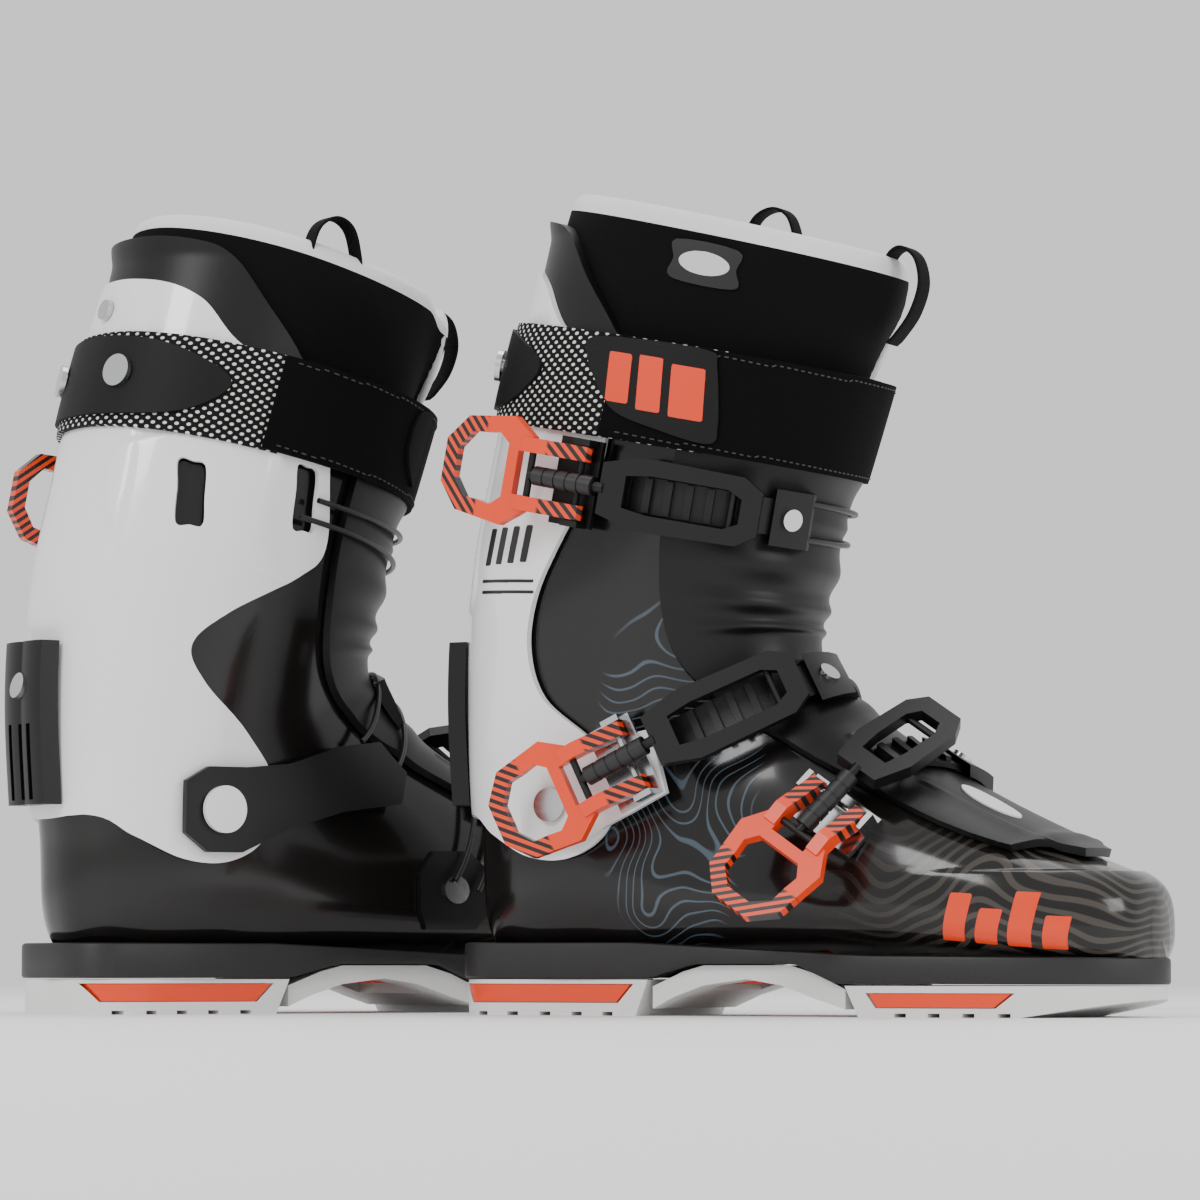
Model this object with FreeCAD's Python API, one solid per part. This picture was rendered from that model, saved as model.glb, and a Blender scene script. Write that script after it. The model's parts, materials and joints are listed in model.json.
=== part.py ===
import FreeCAD, Part
import math
import os

# A pair of alpine ski boots: two mirrored boots built from one set of functions.
# Boot frame: X forward from the heel, Y to the wearer's inner side, Z up, millimetres.
# The right boot is drawn; the left boot is its mirror image. Both are turned out and set down.

V = FreeCAD.Vector
os.makedirs("parts", exist_ok=True)

# ---- driving sizes -------------------------------------------------------------------------
SOLE_LENGTH = 306.0       # heel to toe over the welt, size 26.5
BOOT_HEIGHT = 346.0       # floor to the highest point of the liner, at the back
FOREFOOT_HALF = 51.0      # half the width of the shell over the ball of the foot
ANKLE_HALF = 42.0         # half the width of the shell at the ankle
LEG_HALF = 55.0           # half the width of the shell round the calf
SOLE_HALF = 50.0          # half the width of the welt at the ball of the foot
HEEL_HALF = 37.0          # half the width of the welt at the heel
SHELL_WALL = 4.0          # wall of the lower and upper shell
CUFF_WALL = 3.0           # wall of the rear cuff
CUFF_GAP = 2.0            # slide gap between shell and cuff
TONGUE_WALL = 4.2         # wall of the ribbed tongue
TONGUE_GAP = 1.0          # air between shell and tongue
LINER_GAP = 0.6           # air between shell and liner
LINER_WALL = 8.0          # foam wall of the liner
PAD_HEIGHT = 15.0         # thickness of the sole pads
HEEL_WELT_TOP = 30.0      # top of the welt at the heel
TOE_WELT_TOP = 23.5       # top of the welt at the toe
FLEX_DEG = 8.0            # forward flex of the cuff about the ankle
TOE_OUT = 31.5            # each boot is turned out this far from straight ahead
STRAP_WIDTH = 43.0        # width of the power strap
STRAP_THICK = 2.4         # thickness of the power strap
CABLE_RADIUS = 1.2        # coated steel cable
LEVER_LENGTH = 61.0       # buckle lever, hinge to finger end
LEVER_HALF = 22.5         # half the width of the lever at the finger loop
RACK_TEETH = 7            # teeth on each toothed rack
TOOTH_PITCH = 8.6         # spacing of the rack teeth
EASE = 0.5                # running clearance between neighbours

# layers measured outwards from the outer face of the shell
CUFF_OUT = CUFF_GAP + CUFF_WALL
TONGUE_OUT = TONGUE_GAP + TONGUE_WALL
STRAP_IN = max(CUFF_OUT, TONGUE_OUT) + 1.0
ARM_IN = CUFF_OUT + 1.0
ARM_OUT = ARM_IN + 3.0


def along(x):
    return x * SOLE_LENGTH / 306.0


def up(z):
    if z <= 90.0:
        return z
    return 90.0 + (z - 90.0) * (BOOT_HEIGHT - 90.0) / 256.0


ANKLE = V(along(59.0), 0, 86.0)

# ---- the last: sections fanned from the toe, round the instep, up the leg ----------------------
# front or top point, back or bottom point, half width, widest place, squareness, shift inwards
FOOT = FOREFOOT_HALF
MID = (FOREFOOT_HALF + ANKLE_HALF) / 2.0
STATIONS = [
    (302.5, 46, 303, 22, 0.16 * FOOT, 0.45, 2.4, 4.0),
    (300.0, 52, 300, 22, 0.42 * FOOT, 0.45, 2.5, 4.0),
    (292.5, 57, 293, 22, 0.63 * FOOT, 0.42, 2.6, 4.0),
    (281.0, 61, 281, 22, 0.80 * FOOT, 0.40, 2.7, 3.6),
    (264.0, 68, 262, 22, 0.92 * FOOT, 0.38, 2.7, 3.0),
    (243.0, 78, 238, 22, 0.985 * FOOT, 0.36, 2.6, 2.2),
    (222.0, 89, 205, 22, 1.00 * FOOT, 0.35, 2.5, 1.5),
    (206.0, 98, 160, 22, 0.97 * FOOT, 0.35, 2.4, 1.0),
    (192.0, 108, 115, 22, MID + 1.0, 0.37, 2.4, 0.5),
    (177.0, 119, 60, 22, ANKLE_HALF + 2.0, 0.42, 2.4, 0.0),
    (163.0, 131, 12, 27, ANKLE_HALF + 0.5, 0.46, 2.4, 0.0),
    (153.0, 141, 4, 75, ANKLE_HALF + 0.5, 0.48, 2.4, 0.0),
    (148.0, 151, 2, 125, ANKLE_HALF + 4.5, 0.50, 2.3, 0.0),
    (149.0, 168, 5, 180, LEG_HALF - 3.0, 0.50, 2.25, 0.0),
    (159.0, 206, 17, 236, LEG_HALF, 0.50, 2.2, 0.0),
    (175.0, 256, 32, 291, LEG_HALF + 1.0, 0.50, 2.2, 0.0),
    (196.0, 308, 46, 346, LEG_HALF + 2.0, 0.50, 2.15, 0.0),
    (214.0, 360, 62, 400, LEG_HALF + 2.0, 0.50, 2.15, 0.0),
]
LAST = len(STATIONS) - 1
RIM = LAST - 1              # the section that is the rim of the liner


def station(s):
    """Catmull-Rom blend of the section table at a fractional index."""
    s = min(max(s, 0.0), float(LAST))
    i = min(int(s), LAST - 1)
    f = s - i
    rows = [STATIONS[min(max(i + j, 0), LAST)] for j in (-1, 0, 1, 2)]
    out = []
    for p0, p1, p2, p3 in zip(*rows):
        a = 2 * p1 + (p2 - p0) * f
        b = (2 * p0 - 5 * p1 + 4 * p2 - p3) * f * f
        c = (3 * p1 - p0 - 3 * p2 + p3) * f * f * f
        out.append(0.5 * (a + b + c))
    return out


def last_point(s, deg, d):
    """A point on the last at section s, deg round from the front to the outer side, offset d."""
    fx, fz, bx, bz, w, k, n, shift = station(s)
    fade = max(0.0, 1.0 - s / 4.0)
    front = V(along(fx) + d * fade, 0, up(fz))
    back = V(along(bx) + d * fade, 0, up(bz))
    axis = (front - back).normalize()
    front = front + axis * d
    back = back - axis * d
    mid = back + (front - back) * k
    c = math.cos(math.radians(deg))
    q = math.sin(math.radians(deg))
    reach = (front - mid).Length if c >= 0 else (mid - back).Length
    run = math.copysign(abs(c) ** (2.0 / n), c) * reach
    side = -math.copysign(abs(q) ** (2.0 / n), q) * (w + d) + shift
    return mid + axis * run + V(0, side, 0)


LASTS = {}


def last(d):
    """Solid of the last, grown by d."""
    if d not in LASTS:
        rows = []
        for i in range(LAST + 1):
            ring = [last_point(i, 180 + 360.0 * j / 16, d) for j in range(16)]
            rows.append(ring + [V(ring[0])])
        skin = Part.BSplineSurface()
        skin.interpolate(rows)
        face = skin.toShape()
        ends = [Part.Face(Part.Wire(e)) for e in face.Edges if e.isClosed()]
        solid = Part.Solid(Part.Shell([face] + ends))
        solid.fix(0.01, 0.01, 0.01)
        LASTS[d] = solid
    return LASTS[d]


# ---- small helpers -----------------------------------------------------------------------------
def prism(points, y0, y1):
    """Side-view outline (x, z) pushed from y0 to y1."""
    pts = [V(along(x), y0, up(z)) for x, z in points]
    face = Part.Face(Part.makePolygon(pts + [pts[0]]))
    return face.extrude(V(0, y1 - y0, 0))


def slab(points, z0, z1):
    """Plan outline (x, y) through which a closed curve runs, pushed from z0 to z1."""
    curve = Part.BSplineCurve()
    curve.interpolate([V(x, y, z0) for x, y in points], PeriodicFlag=True)
    return Part.Face(Part.Wire(curve.toShape())).extrude(V(0, 0, z1 - z0))


def box(x0, x1, y0, y1, z0, z1):
    return Part.makeBox(x1 - x0, y1 - y0, z1 - z0, V(x0, y0, z0))


def rod(a, b, r):
    return Part.makeCylinder(r, (b - a).Length, a, b - a)


def union(shapes):
    out = shapes[0]
    for s in shapes[1:]:
        out = out.fuse(s)
    return out.removeSplitter()


def group(shapes):
    return Part.makeCompound(shapes)


def largest(shape, count=1):
    """The biggest solids of a cut, without slivers."""
    solids = sorted(shape.Solids, key=lambda s: -s.Volume)
    return solids[0] if count == 1 else group(solids[:count])


def tube(points, r):
    """Round cable through the given points."""
    curve = Part.BSplineCurve()
    curve.interpolate(points)
    start = curve.value(curve.FirstParameter)
    t = curve.tangent(curve.FirstParameter)[0]
    ring = Part.Wire(Part.makeCircle(r, start, t))
    return Part.Wire(curve.toShape()).makePipeShell([ring], True, True)


def layer(inner, outer, *regions):
    """The material between two grown lasts, inside every given region."""
    body = last(outer)
    for region in regions:
        body = body.common(region)
    return body.cut(last(inner))


# ---- the flex seam: everything above it rides with the cuff ---------------------------------------
SEAM_R = 50.0
GAP_LOW = 40.0
GAP_HIGH = GAP_LOW + FLEX_DEG + 1.3


def from_ankle(deg, r):
    a = math.radians(deg)
    return (59.0 + r * math.cos(a), 86.0 + r * math.sin(a))


def seam_region(deg, r, back_z, above):
    """Side-view region above (or below) the seam, as a prism right across the boot."""
    arc = [from_ankle(180 - (180 - deg) * i / 18.0, r) for i in range(19)]
    far = from_ankle(deg, 320.0)
    if above:
        edge = [(-60, back_z)] + [(59.0 - r, back_z)] + arc[1:] + [far, (420, 420), (-60, 420)]
    else:
        edge = [(-60, back_z)] + [(59.0 - r, back_z)] + arc[1:] + [far, (420, 200), (420, -40), (-60, -40)]
    pts = [V(x, -150, z) for x, z in edge]
    shift = ANKLE.x - 59.0
    pts = [V(p.x + shift, p.y, p.z) for p in pts]
    face = Part.Face(Part.makePolygon(pts + [pts[0]]))
    return face.extrude(V(0, 300, 0))


BELOW = seam_region(GAP_LOW, SEAM_R, 84.0, False)
ABOVE = seam_region(GAP_HIGH, SEAM_R + 1.2, 86.0, True)


# ---- sole ------------------------------------------------------------------------------------------
def sole_outline(inset):
    """Plan of the welt, stepped in by inset."""
    h = HEEL_HALF - inset
    f = SOLE_HALF - inset
    half = [(inset, 0), (inset + 2.5, h * 0.6), (inset + 14, h * 0.93), (42, h), (84, h + 2),
            (125, (h + f) / 2 + 1), (165, f - 2.5), (203, f), (238, f - 1.5), (266, f * 0.86),
            (288, f * 0.64), (301 - inset * 0.9, f * 0.32)]
    tip = (306 - inset, 0)
    outer = [(along(x), -y + toe_shift(x)) for x, y in half]
    inner = [(along(x), y + toe_shift(x)) for x, y in reversed(half[1:])]
    return outer + [(along(tip[0]), toe_shift(tip[0]))] + inner


def toe_shift(x):
    return 4.0 * min(max((x - 150.0) / 130.0, 0.0), 1.0)


HEEL_END = 98.0
TOE_START = 190.0


def lower_shell():
    welt = slab(sole_outline(0), 10, HEEL_WELT_TOP)
    keep = prism([(-10, PAD_HEIGHT), (HEEL_END + 2, PAD_HEIGHT), (HEEL_END + 22, 21), (TOE_START - 22, 21),
                  (TOE_START - 4, PAD_HEIGHT - 2), (310, PAD_HEIGHT - 2.3), (310, TOE_WELT_TOP),
                  (200, TOE_WELT_TOP + 1), (90, HEEL_WELT_TOP), (-10, HEEL_WELT_TOP)], -90, 90)
    body = union([last(0.0), welt.common(keep)])
    body = body.common(BELOW).cut(last(-SHELL_WALL))
    throat = prism([(120, 100), (168, 90), (225, 60), (248, 60), (262, 110), (200, 260), (90, 260)], -27, 27)
    ledge = prism([(-20, 76), (20, 76), (30, 90), (30, 140), (-20, 140)], -90, 90)
    return largest(body.cut(throat).cut(ledge))


def upper_shell():
    side = prism([(-20, 86), (200, 86), (200, 222), (138, 236), (100, 262), (10, 262), (-20, 262)], -90, 90)
    throat = box(along(96), along(300), -36, 36, 60, 420)
    return largest(layer(-SHELL_WALL, 0.0, ABOVE, side).cut(throat))


def sole_pads():
    """Heel, toe and arch pads, white rubber-like plastic, with cast drainage slots."""
    plan = slab(sole_outline(1.2), 0, PAD_HEIGHT)
    heel = plan.common(prism([(-5, 0), (HEEL_END - 6, 0), (HEEL_END, 14.7), (-5, 14.7)], -90, 90))
    toe = plan.common(prism([(TOE_START + 6, 0), (262, 0), (310, 8), (310, 12.4), (TOE_START, 12.4)], -90, 90))
    recess_h = slab(sole_outline(-2), 5.2, 13.0).cut(slab(sole_outline(4.2), 4, 14))
    heel_cut = recess_h.common(prism([(12, 4), (HEEL_END - 16, 4), (HEEL_END - 6, 14), (4, 14)], -90, 90))
    recess_t = slab(sole_outline(-2), 3.6, 9.6).cut(slab(sole_outline(4.2), 3, 11))
    toe_cut = recess_t.common(prism([(TOE_START + 14, 3), (252, 3), (262, 11), (TOE_START + 8, 11)], -90, 90))
    heel = heel.cut(heel_cut)
    toe = toe.cut(toe_cut)
    for x in (18, 33, 48, 63, 78):
        heel = heel.cut(box(along(x) - 2.5, along(x) + 2.5, -60, 60, -1, 1.6))
    for x in (214, 228, 242, 256):
        toe = toe.cut(box(along(x) - 2.5, along(x) + 2.5, -60, 60, -1, 1.6))
    arch = slab(sole_outline(4.0), 0, 22)
    bow = [(HEEL_END + 1, 3), (HEEL_END + 1, 12), (HEEL_END + 16, 18), (HEEL_END + 26, 20.5), (TOE_START - 26, 20.5),
           (TOE_START - 14, 17), (TOE_START - 1, 11), (TOE_START - 1, 3), (TOE_START - 14, 7),
           (TOE_START - 30, 12.5), (HEEL_END + 46, 15), (HEEL_END + 26, 12.5), (HEEL_END + 12, 8)]
    arch = arch.common(prism(bow, -90, 90))
    window = box(along(HEEL_END + 20), along(TOE_START - 18), -24, 24, -5, 40)
    return group([largest(heel), largest(toe), largest(arch.cut(window))])


def sole_trim():
    """Orange bands let into the sides of the pads and red grip blocks in the arch."""
    ring_h = slab(sole_outline(1.0), 5.5, 12.7).cut(slab(sole_outline(3.9), 4, 14))
    heel = ring_h.common(prism([(13, 4), (HEEL_END - 17, 4), (HEEL_END - 7.5, 14), (6, 14)], -90, 90))
    ring_t = slab(sole_outline(1.0), 3.9, 9.3).cut(slab(sole_outline(3.9), 3, 11))
    toe = ring_t.common(prism([(TOE_START + 15, 3), (251, 3), (260.5, 11), (TOE_START + 9.5, 11)], -90, 90))
    blocks = []
    for i in range(4):
        x = along(HEEL_END + 22 + 12.0 * i)
        top = 20.2
        blocks.append(box(x, x + 9.8, -23.4, 23.4, 13.0, top))
    return group(heel.Solids + toe.Solids + blocks)


def boot_board():
    core = last(-SHELL_WALL - EASE)
    slice_ = prism([(14, 26), (300, 26), (300, 31), (200, 32), (110, 38), (14, 41)], -90, 90)
    return largest(core.common(slice_))


# ---- liner -------------------------------------------------------------------------------------------
def liner_solid():
    outer = last(-SHELL_WALL - LINER_GAP)
    inner = last(-SHELL_WALL - LINER_GAP - LINER_WALL)
    rim = [(346, 270), (-34, 366.3)]
    floor = prism([(-34, 41.6), (14, 41.6), (110, 38.6), (200, 32.6), (346, 31.6)] + rim, -90, 90)
    floor_in = prism([(-34, 48), (14, 48), (110, 44.6), (200, 38.6), (346, 37.6), (346, 400), (-34, 400)], -90, 90)
    return outer.common(floor).cut(inner.common(floor_in))


def liner_foot():
    return largest(liner_solid().common(BELOW))


def pull_loop(at, turn, tip):
    """A webbing loop standing on the rim."""
    ring = Part.makeCylinder(15, 10, V(0, -5, 0), V(0, 1, 0)).cut(Part.makeCylinder(13.4, 12, V(0, -6, 0), V(0, 1, 0)))
    ring.scale(1.0)
    ring.rotate(V(0, 0, 0), V(0, 1, 0), tip)
    ring.rotate(V(0, 0, 0), V(0, 0, 1), turn)
    ring.translate(at)
    return ring


def liner_cuff():
    body = largest(liner_solid().common(ABOVE))
    front = last_point(RIM, 0, -9.0)
    side = last_point(RIM, -100, -8.0)
    loops = [pull_loop(V(front.x + 1, 0, front.z - 3), 0, 0), pull_loop(V(side.x, side.y, side.z - 4), 8, 0)]
    core = last(-SHELL_WALL - LINER_GAP - LINER_WALL)
    return largest(union([body] + [loop.cut(core) for loop in loops]))


# ---- tongue --------------------------------------------------------------------------------------------
TONGUE_EDGE = [(132, 275), (118, 232), (108, 190), (110, 150), (128, 126), (158, 108), (198, 88), (232, 72),
               (262, 62), (275, 61), (288, 90), (330, 300)]


def tongue_instep():
    body = layer(TONGUE_GAP, TONGUE_OUT, BELOW, prism(TONGUE_EDGE, -90, 90))
    tip = prism([(272, 40), (278, 70), (268, 90), (330, 120), (330, 40)], -90, 90)
    return largest(body.cut(tip))


def tongue_shin():
    top = prism([(60, 100), (300, 100), (300, 240), (150, 262), (60, 280)], -90, 90)
    return largest(layer(TONGUE_GAP, TONGUE_OUT, ABOVE, prism(TONGUE_EDGE, -90, 90), top))


# ---- cuff ----------------------------------------------------------------------------------------------
CUFF_TOP = [(20, 312), (48, 310), (70, 280)]
CUFF_OUTER_EDGE = [(-30, 86), (-30, 320)] + CUFF_TOP + [
    (92, 266), (88, 226), (78, 210), (60, 180), (50, 156), (52, 130), (78, 112), (88, 92), (82, 74), (66, 65),
    (46, 66), (24, 78), (10, 86)]
CUFF_INNER_EDGE = [(-30, 86), (-30, 320)] + CUFF_TOP + [
    (104, 262), (103, 197), (88, 184), (58, 167), (44, 155), (50, 140), (72, 118), (86, 96), (82, 76), (66, 65),
    (46, 66), (24, 78), (10, 86)]


def cuff():
    shape = prism(CUFF_OUTER_EDGE, -120, 10).fuse(prism(CUFF_INNER_EDGE, 5, 120))
    for x in (38, 86):
        shape = shape.cut(prism([(x, 205), (x + 12, 203), (x + 14, 233), (x + 2, 235)], 20, 130))
    return largest(layer(CUFF_GAP, CUFF_OUT, shape))


def spoiler():
    shape = prism([(-10, 263), (96, 263), (84, 292), (70, 322), (56, 331), (-10, 331)], -90, 90)
    return largest(layer(-SHELL_WALL + 0.6, CUFF_GAP - 0.5, shape))


def rear_block():
    shape = prism([(-40, 88), (30, 88), (30, 150), (20, 157), (-40, 157)], -16, 16)
    body = layer(CUFF_OUT + 0.3, CUFF_OUT + 8.0, shape)
    for y in (-8, 0, 8):
        body = body.cut(box(-40, along(-7.5), y - 1.5, y + 1.5, up(90), up(122)))
    return largest(body)


def band(z_back, z_front, width):
    """Region between two parallel slanting planes, for a strap running round the leg."""
    lean = (z_front - z_back) / 145.0
    run = [(-60, z_back - 85 * lean), (260, z_back + 235 * lean)]
    return prism(run + [(x, z + width) for x, z in reversed(run)], -120, 120)


def power_strap():
    body = largest(layer(STRAP_IN, STRAP_IN + STRAP_THICK, band(247, 219, STRAP_WIDTH)))
    patch_in = STRAP_IN + STRAP_THICK - 0.3
    patch_out = patch_in + 1.9
    patch = band(250, 222, STRAP_WIDTH - 6)
    back = layer(patch_in, patch_out, patch, box(-40, along(60), -34, 34, 200, 330))
    side = layer(patch_in, patch_out, patch, box(along(88), along(150), -120, -20, 200, 330))
    return largest(body.fuse(largest(back)).fuse(largest(side)))


# ---- ankle and toe hardware on the shell ---------------------------------------------------------------
def arm_plate(outline, inner, outer, y0, y1):
    return largest(layer(inner, outer, prism(outline, y0, y1)))


def disc_outline(x, z, r, count=20):
    return [(x + r * math.cos(2 * math.pi * i / count), z + r * math.sin(2 * math.pi * i / count))
            for i in range(count)]


def instep_arms():
    """Black arm on the inner side and white buckle plate on the outer side, both on the ankle bolts."""
    arm = [(42, 98), (42, 76), (52, 68), (68, 68), (90, 78), (118, 86), (148, 90), (154, 104), (142, 117),
           (118, 114), (92, 106), (70, 104), (52, 104)]
    plate = [(44, 96), (44, 76), (54, 68), (70, 70), (96, 82), (112, 90), (104, 116), (84, 112), (64, 104), (52, 102)]
    inner = largest(layer(ARM_IN, ARM_OUT, prism(arm, 5, 120)))
    outer = largest(layer(ARM_IN, ARM_OUT, prism(plate, -120, -5)))
    return group([outer, inner])


# ---- placing hardware on the outside ---------------------------------------------------------------
def face_y(x, z, d, side):
    """Where the last grown by d meets the line across the boot at (x, z)."""
    probe = Part.makeLine(V(along(x), side * 8, up(z)), V(along(x), side * 150, up(z)))
    hit = last(d).common(probe)
    return side * max(abs(v.Point.y) for v in hit.Vertexes)


def placement(p, fwd, normal):
    fwd = V(fwd).normalize()
    normal = (normal - fwd * normal.dot(fwd)).normalize()
    across = normal.cross(fwd)
    m = FreeCAD.Matrix(fwd.x, across.x, normal.x, p.x, fwd.y, across.y, normal.y, p.y,
                       fwd.z, across.z, normal.z, p.z, 0, 0, 0, 1)
    return FreeCAD.Placement(m)


def face_frame(x, z, d, heading, side):
    """Placement on the side of the boot: X along the heading, Z straight out of the surface."""
    e = 4.0
    p = V(along(x), face_y(x, z, d, side), up(z))
    px = V(along(2 * e), face_y(x + e, z, d, side) - face_y(x - e, z, d, side), 0)
    pz = V(0, face_y(x, z + e, d, side) - face_y(x, z - e, d, side), up(z + e) - up(z - e))
    normal = px.cross(pz).normalize()
    if normal.y * side < 0:
        normal = normal * -1
    h = math.radians(heading)
    fwd = V(math.cos(h), 0, math.sin(h))
    return placement(p, fwd - normal * fwd.dot(normal), normal)


def disc(x, z, d, side, r, thick):
    """A round head or washer lying on the surface at (x, z)."""
    at = face_frame(x, z, d, 0, side)
    cyl = Part.makeCylinder(r, thick)
    cyl.Placement = at
    return cyl


def ankle_bolts():
    """Bolts that hold arm, cuff and shell together at the ankle, one each side."""
    out = []
    for side in (-1, 1):
        y_in = face_y(59, 86, 0.0, side) - side * (SHELL_WALL - 0.6)
        y_out = face_y(59, 86, ARM_OUT, side)
        a = V(ANKLE.x, y_in, ANKLE.z)
        b = V(ANKLE.x, y_out, ANKLE.z)
        head = rod(b, b + V(0, side * 2.2, 0), 10.0 if side > 0 else 7.0)
        out.append(rod(a, b, 5.0).fuse(head).removeSplitter())
    return out


def bolt_hole(extra):
    return rod(V(ANKLE.x, -90, ANKLE.z), V(ANKLE.x, 90, ANKLE.z), 5.0 + extra)


# ---- one buckle, drawn on its own bench: X towards the rack, Y across, Z outwards ------------------
HINGE_Z = 7.0
EYE_X = -20.0
EYE_Z = 13.0
BARREL_R = 4.0
ROD_R = 2.2


def flat(points, z0, z1):
    """Plan outline on the bench, pushed from z0 to z1."""
    pts = [V(x, y, z0) for x, y in points]
    return Part.Face(Part.makePolygon(pts + [pts[0]])).extrude(V(0, 0, z1 - z0))


def mirror_y(points):
    return points + [(x, -y) for x, y in reversed(points)]


def lever():
    """Open-frame lever: two fork arms on the hinge, a bridge and the finger loop."""
    scale = LEVER_LENGTH / 61.0
    k = LEVER_HALF / 22.5
    loop = mirror_y([(-20, 15.5 * k), (-30 * scale, LEVER_HALF), (-52 * scale, 19.5 * k), (-61 * scale, 9 * k)])
    hole = mirror_y([(-31, 11 * k), (-36 * scale, 15 * k), (-42 * scale, 14 * k), (-49 * scale, 13.5 * k),
                     (-55 * scale, 6 * k)])
    body = flat(loop, 10.5, 15.0).cut(flat(hole, 5, 20))
    for side in (-1, 1):
        y0 = 9.0 if side > 0 else -15.0
        pts = [V(2.6, y0, HINGE_Z - 3), V(3.9, y0, HINGE_Z), V(3.0, y0, HINGE_Z + 2.8), V(-16, y0, EYE_Z + 4),
               V(-24, y0, EYE_Z + 3), V(-26, y0, 10.5), V(-14, y0, 9.0), V(-2.8, y0, HINGE_Z - 3.0)]
        body = body.fuse(Part.Face(Part.makePolygon(pts + [pts[0]])).extrude(V(0, 6, 0)))
    slot = box(-26.0, 12, -8.9, 8.9, 0, 30)
    pin_hole = rod(V(0, -30, HINGE_Z), V(0, 30, HINGE_Z), 1.5 + 0.1)
    eye_hole = rod(V(EYE_X, -12.6, EYE_Z), V(EYE_X, 12.6, EYE_Z), 1.5 + 0.1)
    return largest(body.cut(slot).cut(pin_hole).cut(eye_hole).removeSplitter())


def frame(bend, reach):
    """Threaded rod, block and looped frame with its cross pin; hinged on the lever's eye."""
    eye = rod(V(EYE_X, -12.3, EYE_Z), V(EYE_X, 12.3, EYE_Z), 1.5)
    stem = rod(V(EYE_X, 0, EYE_Z), V(16, 0, EYE_Z), ROD_R)
    loop = flat(mirror_y([(14, 10.5), (30, 15), (reach - 8, 14), (reach, 9)]), EYE_Z - 4, EYE_Z + 1.5)
    window = flat(mirror_y([(24, 6.5), (34, 8), (reach - 14, 8), (reach - 8, 5)]), 0, 30)
    loop = loop.cut(window)
    pin = rod(V(reach - 12, -9.5, EYE_Z - 2.8), V(reach - 12, 9.5, EYE_Z - 2.8), 1.5)
    tail = loop.fuse(pin)
    tail.rotate(V(14, 0, EYE_Z), V(0, 1, 0), bend)
    return largest(eye.fuse(stem).fuse(tail))


def adjuster():
    """Knurled barrel running on the threaded rod."""
    body = rod(V(-17, 0, EYE_Z), V(11, 0, EYE_Z), BARREL_R)
    body = body.cut(rod(V(-20, 0, EYE_Z), V(14, 0, EYE_Z), ROD_R + 0.15))
    for i in range(4):
        x = -12 + 5.5 * i
        groove = rod(V(x, 0, EYE_Z), V(x + 1.2, 0, EYE_Z), 8).cut(rod(V(x - 1, 0, EYE_Z), V(x + 3, 0, EYE_Z), 3.6))
        body = body.cut(groove)
    return largest(body)


def buckle_base():
    """Riveted plate with two ears that carry the hinge pin."""
    plate = flat([(-14, -18), (6, -18), (6, 18), (-14, 18)], 0.4, 2.6)
    ears = []
    for y0 in (-18, 15.5):
        ear = box(-4, 4, y0, y0 + 2.5, 0.4, HINGE_Z + 3)
        ears.append(ear)
    pin = rod(V(0, -18, HINGE_Z), V(0, 18, HINGE_Z), 1.5)
    return union([plate, pin] + ears)


# ---- where the three buckles sit on the outer side ---------------------------------------------------
# place along the boot, height, layer they stand on, heading, bend and reach of the frame, rack teeth
BUCKLES = {
    "upper": (81, 216, CUFF_OUT, -12, 22, 80, RACK_TEETH),
    "instep": (98, 104, ARM_OUT, 26, 19, 80, RACK_TEETH),
    "toe": (186, 82, 0.0, 58, 23, 64, RACK_TEETH - 3),
}


def seat(name):
    x, z, d, heading = BUCKLES[name][:4]
    return face_frame(x, z, d, heading, -1)


def put(shape, at):
    out = shape.copy()
    out.Placement = at.multiply(out.Placement)
    return out


def tail_frame(name):
    """Placement of the bent part of a buckle, beyond the block."""
    turn = FreeCAD.Placement(V(0, 0, 0), FreeCAD.Rotation(V(0, 1, 0), BUCKLES[name][4]), V(14, 0, EYE_Z))
    return seat(name).multiply(turn)


def on_tongue(name, x, y, d):
    """The point of layer d straight under bench position (x, y) of a buckle."""
    at = tail_frame(name)
    probe = Part.makeLine(at.multVec(V(x, y, 60)), at.multVec(V(x, y, -70)))
    top = at.multVec(V(x, y, 60))
    return min((v.Point for v in last(d).common(probe).Vertexes), key=lambda p: (p - top).Length)


RACK_IN = TONGUE_OUT + 0.4
RACK_OUT = RACK_IN + 2.6
TOOTH_OUT = RACK_OUT + 2.4


def rack(name):
    """Toothed strip bent round the tongue, with a thicker end that holds the cables."""
    at = tail_frame(name)
    bend, reach, teeth = BUCKLES[name][4:]
    start = reach + 2 - teeth * TOOTH_PITCH

    def region(x0, x1, half):
        return put(box(x0, x1, -half, half, -50, 40), at)

    body = layer(RACK_IN, RACK_OUT, region(start, reach + 6, 7.4))
    body = largest(body).fuse(largest(layer(RACK_IN, TOOTH_OUT, region(reach + 4, reach + 18, 11.5))))
    for i in range(teeth):
        x = start + 1.0 + i * TOOTH_PITCH
        body = body.fuse(largest(layer(RACK_OUT - 0.5, TOOTH_OUT, region(x, x + 3.0, 6.9))))
    loop = put(frame(bend, reach), seat(name))
    lift = seat(name).Rotation
    for dx, dz in ((-0.35, -0.3), (0.35, -0.3), (0.9, 1.2), (1.4, 2.4), (2.2, 4.0)):
        ghost = loop.copy()
        ghost.translate(lift.multVec(V(dx, 0, dz)))
        body = body.cut(ghost)
    return largest(body)


def nearest_deg(s, d, p):
    """How far round section s the last comes closest to p."""
    return min(range(-120, 121, 2), key=lambda a: (last_point(s, a, d) - p).Length)


RUN = TONGUE_OUT + CABLE_RADIUS + 0.9


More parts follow.
